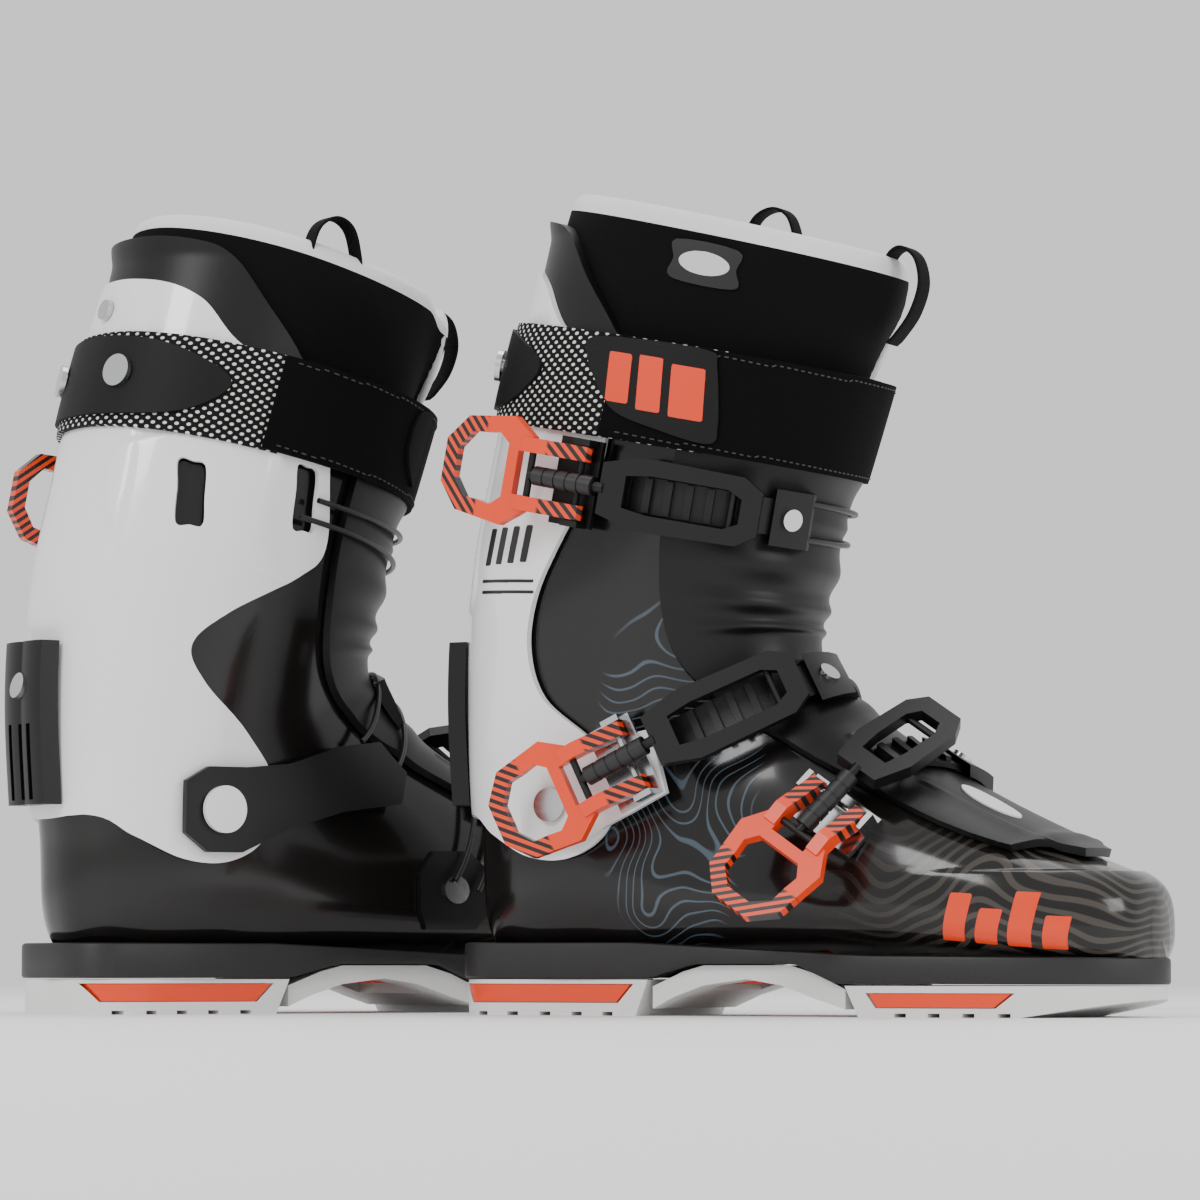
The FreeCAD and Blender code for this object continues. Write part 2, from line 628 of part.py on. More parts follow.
def cable(name, across, s_from, s_to, deg_to, steps=11):
    """A steel cable from the rack, round the front of the tongue, to its anchor on the inner side."""
    start = on_tongue(name, BUCKLES[name][5] + 11, across, RACK_IN + 2.2)
    deg_from = nearest_deg(s_from, RUN, start) - 14
    pts = [start]
    for i in range(steps):
        f = i / (steps - 1.0)
        ease = f * f * (3 - 2 * f)
        pts.append(last_point(s_from + (s_to - s_from) * ease, deg_from + (deg_to - deg_from) * f, RUN))
    return tube(pts, CABLE_RADIUS)


def upper_cables():
    return [cable("upper", 8, 14.05, 13.98, -84), cable("upper", -8, 13.72, 13.8, -88)]


def shell_cables():
    return [cable("instep", 8, 11.6, 10.3, -56), cable("instep", -8, 10.2, 9.3, -58),
            cable("toe", 7, 7.6, 7.3, -84), cable("toe", -7, 6.9, 6.9, -86)]


def toe_anchor():
    outline = [(160, 36), (184, 36), (190, 44), (190, 62), (182, 70), (164, 70), (156, 60), (156, 44)]
    return largest(layer(0.4, 3.4, prism(outline, 5, 120)))


def screw(x, z, d, side, r):
    """Low round head with a short shank, standing on the surface."""
    at = face_frame(x, z, d, 0, side)
    head = Part.makeCylinder(r, 2.0)
    shank = Part.makeCylinder(r * 0.5, 3.0, V(0, 0, -3.0))
    return put(head.fuse(shank).removeSplitter(), at)


def back_screw(z, d, r, y=0.0):
    """A screw head on the spine of the boot, pointing backwards."""
    probe = Part.makeLine(V(along(60), y + 0.7, up(z)), V(along(-60), y + 0.7, up(z)))
    x = min(v.Point.x for v in last(d).common(probe).Vertexes)
    a = V(x, y, up(z))
    out = V(-1, 0, 0.24)
    if abs(y) > 1:
        out = V(-1, math.copysign(0.35, y), 0.2)
    out.normalize()
    head = rod(a - out * 0.4, a + out * 1.9, r)
    shank = rod(a - out * 3.0, a, r * 0.5)
    return head.fuse(shank).removeSplitter()


def rack_screw(name):
    """Screw in the end plate of a rack, square to its face."""
    x = BUCKLES[name][5] + 11
    p = on_tongue(name, x, 0, TOOTH_OUT)
    a = on_tongue(name, x + 3, 0, TOOTH_OUT) - p
    b = on_tongue(name, x, 3, TOOTH_OUT) - p
    at = placement(p, a, a.cross(b))
    head = Part.makeCylinder(4.5, 1.8, V(0, 0, -0.4))
    shank = Part.makeCylinder(2.2, 3.0, V(0, 0, -3.0))
    return put(head.fuse(shank).removeSplitter(), at)


# ---- one boot ------------------------------------------------------------------------------------------
def boot():
    hole = bolt_hole(0.6)
    nodes = {}
    bolts = ankle_bolts()
    nodes["lower_shell"] = largest(lower_shell().cut(bolt_hole(0.0)))
    nodes["sole_pads"] = sole_pads()
    nodes["sole_trim"] = sole_trim()
    nodes["boot_board"] = boot_board()
    nodes["tongue_instep"] = tongue_instep()
    nodes["liner_foot"] = liner_foot()
    low = shell_cables()
    arms = [a.cut(bolt_hole(0.0)) for a in instep_arms().Solids] + [toe_anchor()]
    for c in low:
        arms = [a.cut(c) for a in arms]
    nodes["instep_arms"] = group([largest(a) for a in arms])
    racks = [rack(n) for n in ("instep", "toe")]
    for c in low:
        racks = [r.cut(c) for r in racks]
    nodes["racks"] = group([largest(r) for r in racks])
    nodes["cables"] = group(low)
    nodes["buckle_bases"] = group([put(buckle_base(), seat(n)) for n in ("instep", "toe")])
    nodes["shell_fasteners"] = group(bolts + [screw(173, 53, 3.4, 1, 6.0),
                                              rack_screw("instep"), rack_screw("toe")])
    nodes["cuff"] = largest(cuff().cut(hole))
    nodes["upper_shell"] = upper_shell()
    nodes["spoiler"] = spoiler()
    nodes["rear_block"] = rear_block()
    nodes["tongue_shin"] = tongue_shin()
    nodes["liner_cuff"] = liner_cuff()
    nodes["power_strap"] = power_strap()
    high = upper_cables()
    top_rack = rack("upper")
    for c in high:
        top_rack = top_rack.cut(c)
    nodes["upper_rack"] = group([largest(top_rack), put(buckle_base(), seat("upper"))])
    nodes["upper_cables"] = group(high)
    strap_face = STRAP_IN + STRAP_THICK + 1.6
    nodes["cuff_fasteners"] = group([back_screw(301, CUFF_OUT, 4.5), back_screw(138, CUFF_OUT + 8.0, 5.5),
                                     back_screw(272, strap_face, 7.0, 24.0), back_screw(272, strap_face, 7.0, -24.0),
                                     rack_screw("upper")])
    for n in ("upper", "instep", "toe"):
        nodes[n + "_lever"] = put(lever(), seat(n))
        nodes[n + "_frame"] = put(frame(BUCKLES[n][4], BUCKLES[n][5]), seat(n))
        nodes[n + "_adjuster"] = put(adjuster(), seat(n))
    return nodes


def mirrored(shape):
    return shape.mirror(V(0, 0, 0), V(0, 1, 0))


HEEL_SPACING = 188.0      # between the two heels, side by side


def set_down(shape, left):
    out = mirrored(shape) if left else shape.copy()
    out.rotate(V(0, 0, 0), V(0, 0, 1), TOE_OUT if left else -TOE_OUT)
    if left:
        out.translate(V(-HEEL_SPACING, 0, 0))
    return out


def extent(shapes):
    pts = [p for s in shapes for p in s.tessellate(0.2)[0]]
    return (min(p.x for p in pts), max(p.x for p in pts), min(p.y for p in pts), max(p.y for p in pts))


def main():
    nodes = boot()
    placed = {}
    for name, shape in nodes.items():
        placed["right_" + name] = set_down(shape, False)
        placed["left_" + name] = set_down(shape, True)
    x0, x1, y0, y1 = extent(placed.values())
    home = V(-(x0 + x1) / 2, -(y0 + y1) / 2, 0)
    for name, shape in placed.items():
        shape.translate(home)
        shape.exportStep("parts/" + name + ".step")
    print("home", home.x, home.y)
    print("ankle", ANKLE.x, ANKLE.y, ANKLE.z)
    for n in ("upper", "instep", "toe"):
        at = seat(n)
        for label, p in (("hinge", V(0, 0, HINGE_Z)), ("eye", V(EYE_X, 0, EYE_Z))):
            q = at.multVec(p)
            print(n, label, q.x, q.y, q.z)
        for label, d in (("across", V(0, 1, 0)), ("along", V(1, 0, 0)), ("out", V(0, 0, 1))):
            q = at.Rotation.multVec(d)
            print(n, label, q.x, q.y, q.z)


main()
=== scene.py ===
import json
import math
import bpy
import bmesh
import numpy as np
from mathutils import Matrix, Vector


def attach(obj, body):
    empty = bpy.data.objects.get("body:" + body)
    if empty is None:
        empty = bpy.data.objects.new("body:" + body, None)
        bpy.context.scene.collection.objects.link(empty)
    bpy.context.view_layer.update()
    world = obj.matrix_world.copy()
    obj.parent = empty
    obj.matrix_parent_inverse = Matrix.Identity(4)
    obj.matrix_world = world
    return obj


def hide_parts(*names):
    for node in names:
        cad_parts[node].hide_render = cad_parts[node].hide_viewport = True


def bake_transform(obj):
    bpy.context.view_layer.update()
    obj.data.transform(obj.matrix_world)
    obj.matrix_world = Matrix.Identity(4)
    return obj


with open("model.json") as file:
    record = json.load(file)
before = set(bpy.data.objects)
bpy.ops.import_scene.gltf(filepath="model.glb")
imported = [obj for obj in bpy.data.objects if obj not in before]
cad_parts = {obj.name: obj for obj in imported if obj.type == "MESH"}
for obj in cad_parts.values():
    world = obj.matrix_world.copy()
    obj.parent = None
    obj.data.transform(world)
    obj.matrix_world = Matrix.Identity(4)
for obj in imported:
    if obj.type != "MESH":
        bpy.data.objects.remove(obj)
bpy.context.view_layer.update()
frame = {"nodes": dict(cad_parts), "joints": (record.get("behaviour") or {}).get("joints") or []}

# ---- Lower shell and side wings --------------------------------------------------------------------
# One smoke-tinted polyurethane shell, injection moulded, from the toe box up to the power strap.
# It is stiff at the foot and bends at the ankle; here it is one fixed mesh, not bent between the two bodies.
#
# Each boot is drawn once, in millimetres, with x forward from its heel, y to the inner side and
# z up. The left boot is the mirror image. Both are turned out and set down on their ankle bolts.
ANKLE = np.array([59.0, 0.0, 86.0])
SIDES = ("right", "left")
JOINTS = {j["name"]: j for j in frame["joints"]}


def heel_place(side):
    """Turn and heel point that carry boot millimetres to metres in the row frame."""
    joint = JOINTS[side + "_cuff_flex"]
    across = np.array(joint["axis"])
    turn = np.array([[across[1], across[0], 0.0], [-across[0], across[1], 0.0], [0.0, 0.0, 1.0]])
    heel = np.array(joint["pos_m"]) - turn @ (ANKLE / 1000.0)
    return turn, heel


PLACES = {side: heel_place(side) for side in SIDES}


def in_row(points, side):
    """Boot millimetres to row metres."""
    turn, heel = PLACES[side]
    p = np.array(points, float).reshape(-1, 3) / 1000.0
    if side == "left":
        p = p * np.array([1.0, -1.0, 1.0])
    return p @ turn.T + heel


def add_mesh(name, points, faces, side, coats, layer=None, lay=None, smooth=True):
    """A mesh piece from boot millimetres; lay is a millimetre position for patterns on each point."""
    mesh = bpy.data.meshes.new(name)
    mesh.from_pydata([tuple(p) for p in in_row(points, side)], [], [list(f) for f in faces])
    for coat in coats:
        mesh.materials.append(coat)
    if layer is not None:
        mesh.polygons.foreach_set("material_index", np.array(layer, np.int32))
    marks = {"boot": points} if lay is None else {"boot": points, "lay": lay}
    for mark, values in marks.items():
        attribute = mesh.attributes.new(mark, "FLOAT_VECTOR", "POINT")
        attribute.data.foreach_set("vector", np.array(values, np.float32).ravel())
    tidy = bmesh.new()
    tidy.from_mesh(mesh)
    bmesh.ops.remove_doubles(tidy, verts=tidy.verts, dist=2e-6)
    bmesh.ops.recalc_face_normals(tidy, faces=tidy.faces)
    tidy.to_mesh(mesh)
    tidy.free()
    if smooth:
        mesh.shade_smooth()
        mesh.set_sharp_from_angle(angle=math.radians(38))
    piece = bpy.data.objects.new(name, mesh)
    bpy.context.scene.collection.objects.link(piece)
    return piece


def soften(piece, width_mm, segments=2, angle=35):
    """Round the edges of a moulded or stamped piece."""
    bevel = piece.modifiers.new("edge", "BEVEL")
    bevel.width = width_mm / 1000.0
    bevel.segments = segments
    bevel.limit_method = "ANGLE"
    bevel.angle_limit = math.radians(angle)
    bevel.harden_normals = False
    return piece


def linear(code):
    """sRGB hex to linear colour with alpha."""
    out = []
    for i in (0, 2, 4):
        v = int(code[i:i + 2], 16) / 255.0
        out.append(v / 12.92 if v <= 0.04045 else ((v + 0.055) / 1.055) ** 2.4)
    return (*out, 1.0)


def add_node(tree, kind, settings=None, links=None):
    """One node: its settings, its socket values and what feeds its sockets."""
    node = tree.nodes.new(kind)
    for key, value in (settings or {}).items():
        if isinstance(key, str) and hasattr(node, key):
            setattr(node, key, value)
        else:
            node.inputs[key].default_value = value
    for key, source in (links or {}).items():
        tree.links.new(source, node.inputs[key])
    return node


def maths(tree, operation, *terms):
    """A math node; each term is a number or a socket."""
    numbers = {i: term for i, term in enumerate(terms) if isinstance(term, float)}
    sockets = {i: term for i, term in enumerate(terms) if not isinstance(term, float)}
    return add_node(tree, "ShaderNodeMath", {"operation": operation, **numbers}, sockets).outputs[0]


def ramp(tree, value, start, end):
    """0 where value is at start, 1 where it is at end."""
    limits = {"From Min": start, "From Max": end}
    return add_node(tree, "ShaderNodeMapRange", limits, {"Value": value}).outputs[0]


def mixed(tree, amount, first, second):
    """Colour going from first to second; first is a hex colour or a socket, second a hex colour."""
    node = add_node(tree, "ShaderNodeMix", {"data_type": "RGBA"}, {0: amount})
    node.inputs[7].default_value = linear(second)
    if isinstance(first, str):
        node.inputs[6].default_value = linear(first)
    else:
        tree.links.new(first, node.inputs[6])
    return node.outputs[2]


def coat(name, colour, roughness, **sockets):
    """A material with one Principled shader, ready for patterns."""
    material = bpy.data.materials.new(name)
    material.use_nodes = True
    shader = material.node_tree.nodes["Principled BSDF"]
    shader.inputs["Base Color"].default_value = linear(colour)
    shader.inputs["Roughness"].default_value = roughness
    for key, value in sockets.items():
        shader.inputs[key.replace("_", " ")].default_value = value
    return material, material.node_tree, shader


def grain(tree, shader, size_mm, depth, detail=3.0):
    """Fine surface grain of a given size, as a bump."""
    place = add_node(tree, "ShaderNodeTexCoord")
    noise = add_node(tree, "ShaderNodeTexNoise", {"Scale": 1000.0 / size_mm, "Detail": detail},
                     {"Vector": place.outputs["Object"]})
    bump = add_node(tree, "ShaderNodeBump", {"Strength": depth, "Distance": 0.0004},
                    {"Height": noise.outputs["Fac"]})
    tree.links.new(bump.outputs["Normal"], shader.inputs["Normal"])
    return noise


# The last is the form that every layer of the boot follows.
# Sections fanned from the toe round the instep and up the leg: front point, back point, half
# width, widest place, squareness and shift inwards. Shell, liner, tongue and cuff are offsets.
FOOT = 51.0
HEEL = 42.0
LEG = 55.0
SECTIONS = np.array([
    (302.5, 46, 303, 22, 0.16 * FOOT, 0.45, 2.4, 4.0),
    (300.0, 52, 300, 22, 0.42 * FOOT, 0.45, 2.5, 4.0),
    (292.5, 57, 293, 22, 0.63 * FOOT, 0.42, 2.6, 4.0),
    (281.0, 61, 281, 22, 0.80 * FOOT, 0.40, 2.7, 3.6),
    (264.0, 68, 262, 22, 0.92 * FOOT, 0.38, 2.7, 3.0),
    (243.0, 78, 238, 22, 0.985 * FOOT, 0.36, 2.6, 2.2),
    (222.0, 89, 205, 22, 1.00 * FOOT, 0.35, 2.5, 1.5),
    (206.0, 98, 160, 22, 0.97 * FOOT, 0.35, 2.4, 1.0),
    (192.0, 108, 115, 22, (FOOT + HEEL) / 2 + 1.0, 0.37, 2.4, 0.5),
    (177.0, 119, 60, 22, HEEL + 2.0, 0.42, 2.4, 0.0),
    (163.0, 131, 12, 27, HEEL + 0.5, 0.46, 2.4, 0.0),
    (153.0, 141, 4, 75, HEEL + 0.5, 0.48, 2.4, 0.0),
    (148.0, 151, 2, 125, HEEL + 4.5, 0.50, 2.3, 0.0),
    (149.0, 168, 5, 180, LEG - 3.0, 0.50, 2.25, 0.0),
    (159.0, 206, 17, 236, LEG, 0.50, 2.2, 0.0),
    (175.0, 256, 32, 291, LEG + 1.0, 0.50, 2.2, 0.0),
    (196.0, 308, 46, 346, LEG + 2.0, 0.50, 2.15, 0.0),
    (214.0, 360, 62, 400, LEG + 2.0, 0.50, 2.15, 0.0),
])
TOP = len(SECTIONS) - 1
RIM = TOP - 1


def last_at(s, deg, d):
    """Points of the last at sections s, deg round from front to outer side, grown by d."""
    s = np.clip(np.asarray(s, float), 0.0, TOP - 1e-6)
    deg = np.radians(np.asarray(deg, float))
    d = np.asarray(d, float)
    i = s.astype(int)
    f = (s - i)[..., None]
    p0, p1, p2, p3 = (SECTIONS[np.clip(i + j, 0, TOP)] for j in (-1, 0, 1, 2))
    row = 0.5 * (2 * p1 + (p2 - p0) * f + (2 * p0 - 5 * p1 + 4 * p2 - p3) * f ** 2
                 + (3 * p1 - p0 - 3 * p2 + p3) * f ** 3)
    fx, fz, bx, bz, w, k, n, shift = (row[..., j] for j in range(8))
    fade = np.clip(1.0 - s / 4.0, 0, 1)
    ax, az = fx - bx, fz - bz
    length = np.hypot(ax, az)
    ax, az = ax / length, az / length
    reach = length + 2 * d
    back_x, back_z = bx + d * fade - ax * d, bz - az * d
    c, q = np.cos(deg), np.sin(deg)
    span = np.where(c >= 0, (1 - k) * reach, k * reach)
    run = k * reach + np.sign(c) * np.abs(c) ** (2.0 / n) * span
    side = -np.sign(q) * np.abs(q) ** (2.0 / n) * (w + d) + shift
    return np.stack([back_x + ax * run, side + 0 * run, back_z + az * run], -1)


def smooth_loop(points, per=8):
    """A closed smooth curve through a few points."""
    p = np.array(points, float)
    n = len(p)
    t = np.arange(per)[:, None] / per
    out = []
    for i in range(n):
        a, b, c, e = p[i - 1], p[i], p[(i + 1) % n], p[(i + 2) % n]
        out.append(0.5 * (2 * b + (c - a) * t + (2 * a - 5 * b + 4 * c - e) * t ** 2
                          + (3 * b - a - 3 * c + e) * t ** 3))
    return np.concatenate(out)


def inside(loop, x, z):
    """Signed distance to a closed outline in the side view, negative inside."""
    a, b = loop, np.roll(loop, -1, 0)
    shape = x.shape
    px, pz = x.ravel()[:, None], z.ravel()[:, None]
    dx, dz = (b - a)[:, 0], (b - a)[:, 1]
    t = np.clip(((px - a[:, 0]) * dx + (pz - a[:, 1]) * dz) / (dx * dx + dz * dz + 1e-9), 0, 1)
    near = np.hypot(px - a[:, 0] - t * dx, pz - a[:, 1] - t * dz).min(1)
    crosses = ((a[:, 1] > pz) != (b[:, 1] > pz)) & (px < a[:, 0] + (pz - a[:, 1]) * dx / (dz + 1e-12))
    return np.where(crosses.sum(1) % 2 == 1, -near, near).reshape(shape)


def skin(s_range, deg_range, steps, offset, thick, field):
    """A wall of the boot: a grid on the last, pushed out by offset, trimmed where field is above
    zero and closed to a solid of the given thickness. Returns points, faces and pattern places."""
    rows, cols = steps
    s = np.linspace(s_range[0], s_range[1], rows)
    if s_range[0] == 0:
        s[1:] = np.linspace(0, s_range[1], rows - 1)
    deg = np.linspace(deg_range[0], deg_range[1], cols)
    s_grid, deg_grid = np.meshgrid(s, deg, indexing="ij")
    base = last_at(s_grid, deg_grid, 0 * s_grid)
    d = offset(base, s_grid, deg_grid)
    outer = last_at(s_grid, deg_grid, d)
    inner = last_at(s_grid, deg_grid, d - thick)
    if s_range[0] == 0:
        outer[0] = outer[1].mean(0)
        inner[0] = inner[1].mean(0)
    f = field(base, s_grid, deg_grid)
    f = np.where(np.abs(f) < 0.05, -0.05, f)
    walk = np.zeros_like(s_grid)
    walk[:, 1:] = np.cumsum(np.linalg.norm(np.diff(outer, axis=1), axis=2), 1)
    walk -= walk[:, cols // 2][:, None]
    climb = np.zeros_like(s_grid)
    climb[1:] = np.cumsum(np.linalg.norm(np.diff(outer, axis=0), axis=2), 0)
    lay = np.stack([walk, climb, outer[..., 0]], -1)
    values = np.concatenate([outer, inner, lay], 2).reshape(-1, 9)
    level = f.ravel()
    made, kept, table = {}, [], []

    def corner(i):
        if ("v", i) not in made:
            made[("v", i)] = len(table)
            table.append(values[i])
        return made[("v", i)]

    def crossing(i, j):
        key = (min(i, j), max(i, j))
        if key not in made:
            made[key] = len(table)
            t = level[i] / (level[i] - level[j])
            table.append(values[i] + (values[j] - values[i]) * t)
        return made[key]

    closed = abs(deg_range[1] - deg_range[0] - 360) < 1e-6
    for r in range(rows - 1):
        for c in range(cols - 1):
            c2 = 0 if closed and c == cols - 2 else c + 1
            quad = (r * cols + c, r * cols + c2, (r + 1) * cols + c2, (r + 1) * cols + c)
            if min(level[q] for q in quad) > 0:
                continue
            loop = []
            for a, b in zip(quad, quad[1:] + quad[:1]):
                if level[a] <= 0:
                    loop.append(corner(a))
                if (level[a] <= 0) != (level[b] <= 0):
                    loop.append(crossing(a, b))
            if len(loop) >= 3:
                kept.append(loop)
    table = np.array(table)
    n = len(table)
    edges = {}
    for face in kept:
        for a, b in zip(face, face[1:] + face[:1]):
            edges[(a, b)] = edges.get((a, b), 0) + 1
    rim = [(a, b) for (a, b) in edges if (b, a) not in edges]
    faces = kept + [[v + n for v in reversed(face)] for face in kept]
    faces += [[b, a, a + n, b + n] for a, b in rim]
    points = np.concatenate([table[:, :3], table[:, 3:6]])
    lay = np.concatenate([table[:, 6:9], table[:, 6:9]])
    return points, faces, lay, len(kept)


def fades(value, start, end):
    """Smooth step from 0 at start to 1 at end."""
    t = np.clip((value - start) / (end - start), 0, 1)
    return t * t * (3 - 2 * t)


def lateral(points):
    """True on the outer side of the boot."""
    return points[..., 1] < 0


def ankle_blend(piece):
    """Bakes the piece's placement into its mesh; the piece is not bent at the ankle crease."""
    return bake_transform(piece)


SHELL_WALL = 4.0
SHELL_SIDE = smooth_loop([(-30, 5), (150, 0), (330, 5), (335, 120), (262, 170), (190, 232), (150, 240),
                          (112, 258), (60, 264), (-30, 264), (-40, 130)])


def shell_offset(p, s, deg):
    rand = 1.1 * (1 - fades(p[..., 2], 56.5, 58.0)) * fades(p[..., 0], 205, 260)
    return rand


def shell_field(p, s, deg):
    body = inside(SHELL_SIDE, p[..., 0], p[..., 2])
    throat = np.minimum(np.minimum(30 - np.abs(p[..., 1]), 62 - np.abs(deg)), (s - 4.9) * 20)
    return np.maximum(body, throat)


smoke, smoke_tree, smoke_shader = coat("smoke_polyurethane_moulded", "141211", 0.16, Coat_Weight=0.15,
                                       Coat_Roughness=0.05, Specular_IOR_Level=0.35)
# Wavy bands of warm grey, 6 mm apart, are printed round the toe and the front of the side, and
# thin blue-grey contour lines behind them on the outer side.
boot_place = add_node(smoke_tree, "ShaderNodeAttribute", {"attribute_name": "boot"}).outputs["Vector"]
split = add_node(smoke_tree, "ShaderNodeSeparateXYZ", links={"Vector": boot_place})
swell = add_node(smoke_tree, "ShaderNodeTexNoise", {"Scale": 0.022, "Detail": 0.5}, {"Vector": boot_place})
swing = maths(smoke_tree, "MULTIPLY_ADD", swell.outputs["Fac"], 70.0, split.outputs["Z"])
wave = maths(smoke_tree, "SINE", maths(smoke_tree, "MULTIPLY", swing, 2 * math.pi / 6.0))
front = maths(smoke_tree, "MULTIPLY", ramp(smoke_tree, split.outputs["X"], 175.0, 250.0),
              ramp(smoke_tree, split.outputs["Z"], 80.0, 62.0))
bands = maths(smoke_tree, "MULTIPLY", ramp(smoke_tree, wave, 0.15, 0.45), front)
crest = maths(smoke_tree, "SINE", maths(smoke_tree, "MULTIPLY", swell.outputs["Fac"], 150.0))
behind = maths(smoke_tree, "MULTIPLY", ramp(smoke_tree, split.outputs["X"], 178.0, 160.0),
               ramp(smoke_tree, split.outputs["Y"], -14.0, -24.0))
centred = add_node(smoke_tree, "ShaderNodeVectorMath", {"operation": "SUBTRACT", 1: (112.0, -50.0, 96.0)},
                   {0: boot_place})
squeezed = add_node(smoke_tree, "ShaderNodeVectorMath",
                    {"operation": "MULTIPLY", 1: (1 / 38.0, 0.0, 1 / 78.0)}, {0: centred.outputs["Vector"]})
reach = add_node(smoke_tree, "ShaderNodeVectorMath", {"operation": "LENGTH"}, {0: squeezed.outputs["Vector"]})
oval = maths(smoke_tree, "MULTIPLY", behind, ramp(smoke_tree, reach.outputs["Value"], 1.0, 0.88))
lines = maths(smoke_tree, "MULTIPLY", ramp(smoke_tree, crest, 0.80, 0.93), oval)
banded = mixed(smoke_tree, maths(smoke_tree, "MULTIPLY", bands, 0.7), "141211", "4d4741")
inked = mixed(smoke_tree, maths(smoke_tree, "MULTIPLY", lines, 0.5), banded, "5f7383")
smoke_tree.links.new(inked, smoke_shader.inputs["Base Color"])

SHELL_MESH = skin((0, 15.2), (-180, 180), (230, 241), shell_offset, SHELL_WALL, shell_field)
for side in SIDES:
    points, faces, lay, _ = SHELL_MESH
    shell = add_mesh(side + "_shell", points, faces, side, [smoke], lay=lay)
    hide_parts(side + "_lower_shell", side + "_upper_shell")
    ankle_blend(shell)


# ---- Welt: the hard black edge that the binding grips --------------------------------------------
# Moulded with the shell, matt black: 30 mm above the floor at the heel and lower at the toe.
SOLE = 50.0
HEEL_SOLE = 37.0


def toe_shift(x):
    return 4.0 * min(max((x - 150.0) / 130.0, 0.0), 1.0)


def sole_loop(inset):
    """Plan of the sole, stepped in by inset, as a smooth closed curve."""
    h, f = HEEL_SOLE - inset, SOLE - inset
    half = [(inset, 0), (inset + 2.5, h * 0.6), (inset + 14, h * 0.93), (42, h), (84, h + 2),
            (125, (h + f) / 2 + 1), (165, f - 2.5), (203, f), (238, f - 1.5), (266, f * 0.86),
            (288, f * 0.64), (301 - inset * 0.9, f * 0.32), (306 - inset, 0)]
    outer = [(x, -y + toe_shift(x)) for x, y in half]
    inner = [(x, y + toe_shift(x)) for x, y in reversed(half[1:-1])]
    return smooth_loop(outer + inner, 10)


def welt_top(x):
    return np.interp(x, [0, 90, 200, 310], [30.0, 30.0, 24.5, 23.5])


def welt_bottom(x):
    return np.interp(x, [0, 98, 120, 168, 186, 310], [15.2, 15.2, 21.0, 21.0, 13.2, 12.9])


welt_black, welt_tree, welt_shader = coat("black_polyurethane_moulded_matt", "1b1a1a", 0.5)
grain(welt_tree, welt_shader, 0.6, 0.25)
rings = [(8.0, "top", 0.0), (1.2, "top", 0.0), (0.3, "top", -0.5), (0.0, "top", -1.4), (0.0, "bottom", 0.9),
         (0.6, "bottom", 0.0), (12.0, "bottom", 0.0)]
welt_points = []
for inset, level, drop in rings:
    loop = sole_loop(inset)
    z = (welt_top if level == "top" else welt_bottom)(loop[:, 0]) + drop
    welt_points.append(np.column_stack([loop, z]))
count = len(welt_points[0])
welt_faces = []
for r in range(len(rings)):
    for c in range(count):
        r2, c2 = (r + 1) % len(rings), (c + 1) % count
        welt_faces.append([r * count + c, r * count + c2, r2 * count + c2, r2 * count + c])
for side in SIDES:
    welt = add_mesh(side + "_welt", np.concatenate(welt_points), welt_faces, side, [welt_black])
    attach(welt, side + "_shell_body")


# ---- Sole pads and grip inserts ------------------------------------------------------------------
# White pads screwed under heel, arch and toe, with orange-red bands and grip blocks moulded in.
pad_white, pad_tree, pad_shader = coat("white_sole_thermoplastic_moulded", "e4e4e2", 0.42)
grain(pad_tree, pad_shader, 0.8, 0.2)
band_orange, band_tree, band_shader = coat("orange_thermoplastic_moulded", "ec3f0a", 0.38)


def coat_node(node, *coats, width=0.0, segments=2):
    """A CAD part keeps its shape and gets its finish, with its edges rounded when a width is given."""
    piece = frame["nodes"][node]
    piece.data.materials.clear()
    for one in coats:
        piece.data.materials.append(one)
    if width:
        soften(piece, width, segments)
    return piece


for side in SIDES:
    coat_node(side + "_sole_pads", pad_white, width=0.7)
    coat_node(side + "_sole_trim", band_orange, width=0.3)


# ---- Boot board ----------------------------------------------------------------------------------
# A dark plastic foot board lies in the bottom of the shell, under the liner.
board_grey, board_tree, board_shader = coat("dark_grey_foot_board_moulded", "2b2b2e", 0.6)
for side in SIDES:
    coat_node(side + "_boot_board", board_grey)


# ---- Rear cuff -----------------------------------------------------------------------------------
# The white spine and collar, glossy injection-moulded polyurethane, turning on the ankle bolts.
# Raised panels stiffen it, and two slots on the inner side let the shell show.
CUFF_GAP = 2.0
CUFF_WALL = 3.0
CUFF_OUTER = smooth_loop([(-30, 84), (-34, 200), (-30, 325), (14, 316), (38, 313), (54, 303), (68, 282),
                          (92, 266), (90, 238), (84, 219), (68, 196), (54, 172), (49, 150), (55, 130),
                          (76, 112), (87, 94), (82, 75), (66, 65), (46, 66), (26, 76), (10, 85)], 8)
CUFF_INNER = smooth_loop([(-30, 84), (-34, 200), (-30, 325), (14, 316), (38, 313), (54, 303), (68, 282),
                          (103, 264), (104, 230), (103, 198), (90, 185), (60, 169), (45, 155), (52, 139),
                          (72, 119), (86, 98), (82, 75), (66, 65), (46, 66), (26, 76), (10, 85)], 8)
WINDOWS = [smooth_loop([(x + dx, z + 0.0) for dx, z in ((0.5, 206), (5.5, 205), (10.5, 205), (11.5, 216),
                        (12.5, 230), (8, 232), (3, 233), (2, 222))], 5) for x in (38, 86)]
PANEL = smooth_loop([(20, 196), (24, 238), (60, 244), (112, 238), (112, 196), (96, 178), (70, 186), (40, 192)], 8)
SPINE = smooth_loop([(-40, 160), (-40, 330), (34, 330), (30, 250), (20, 200), (12, 168)], 8)


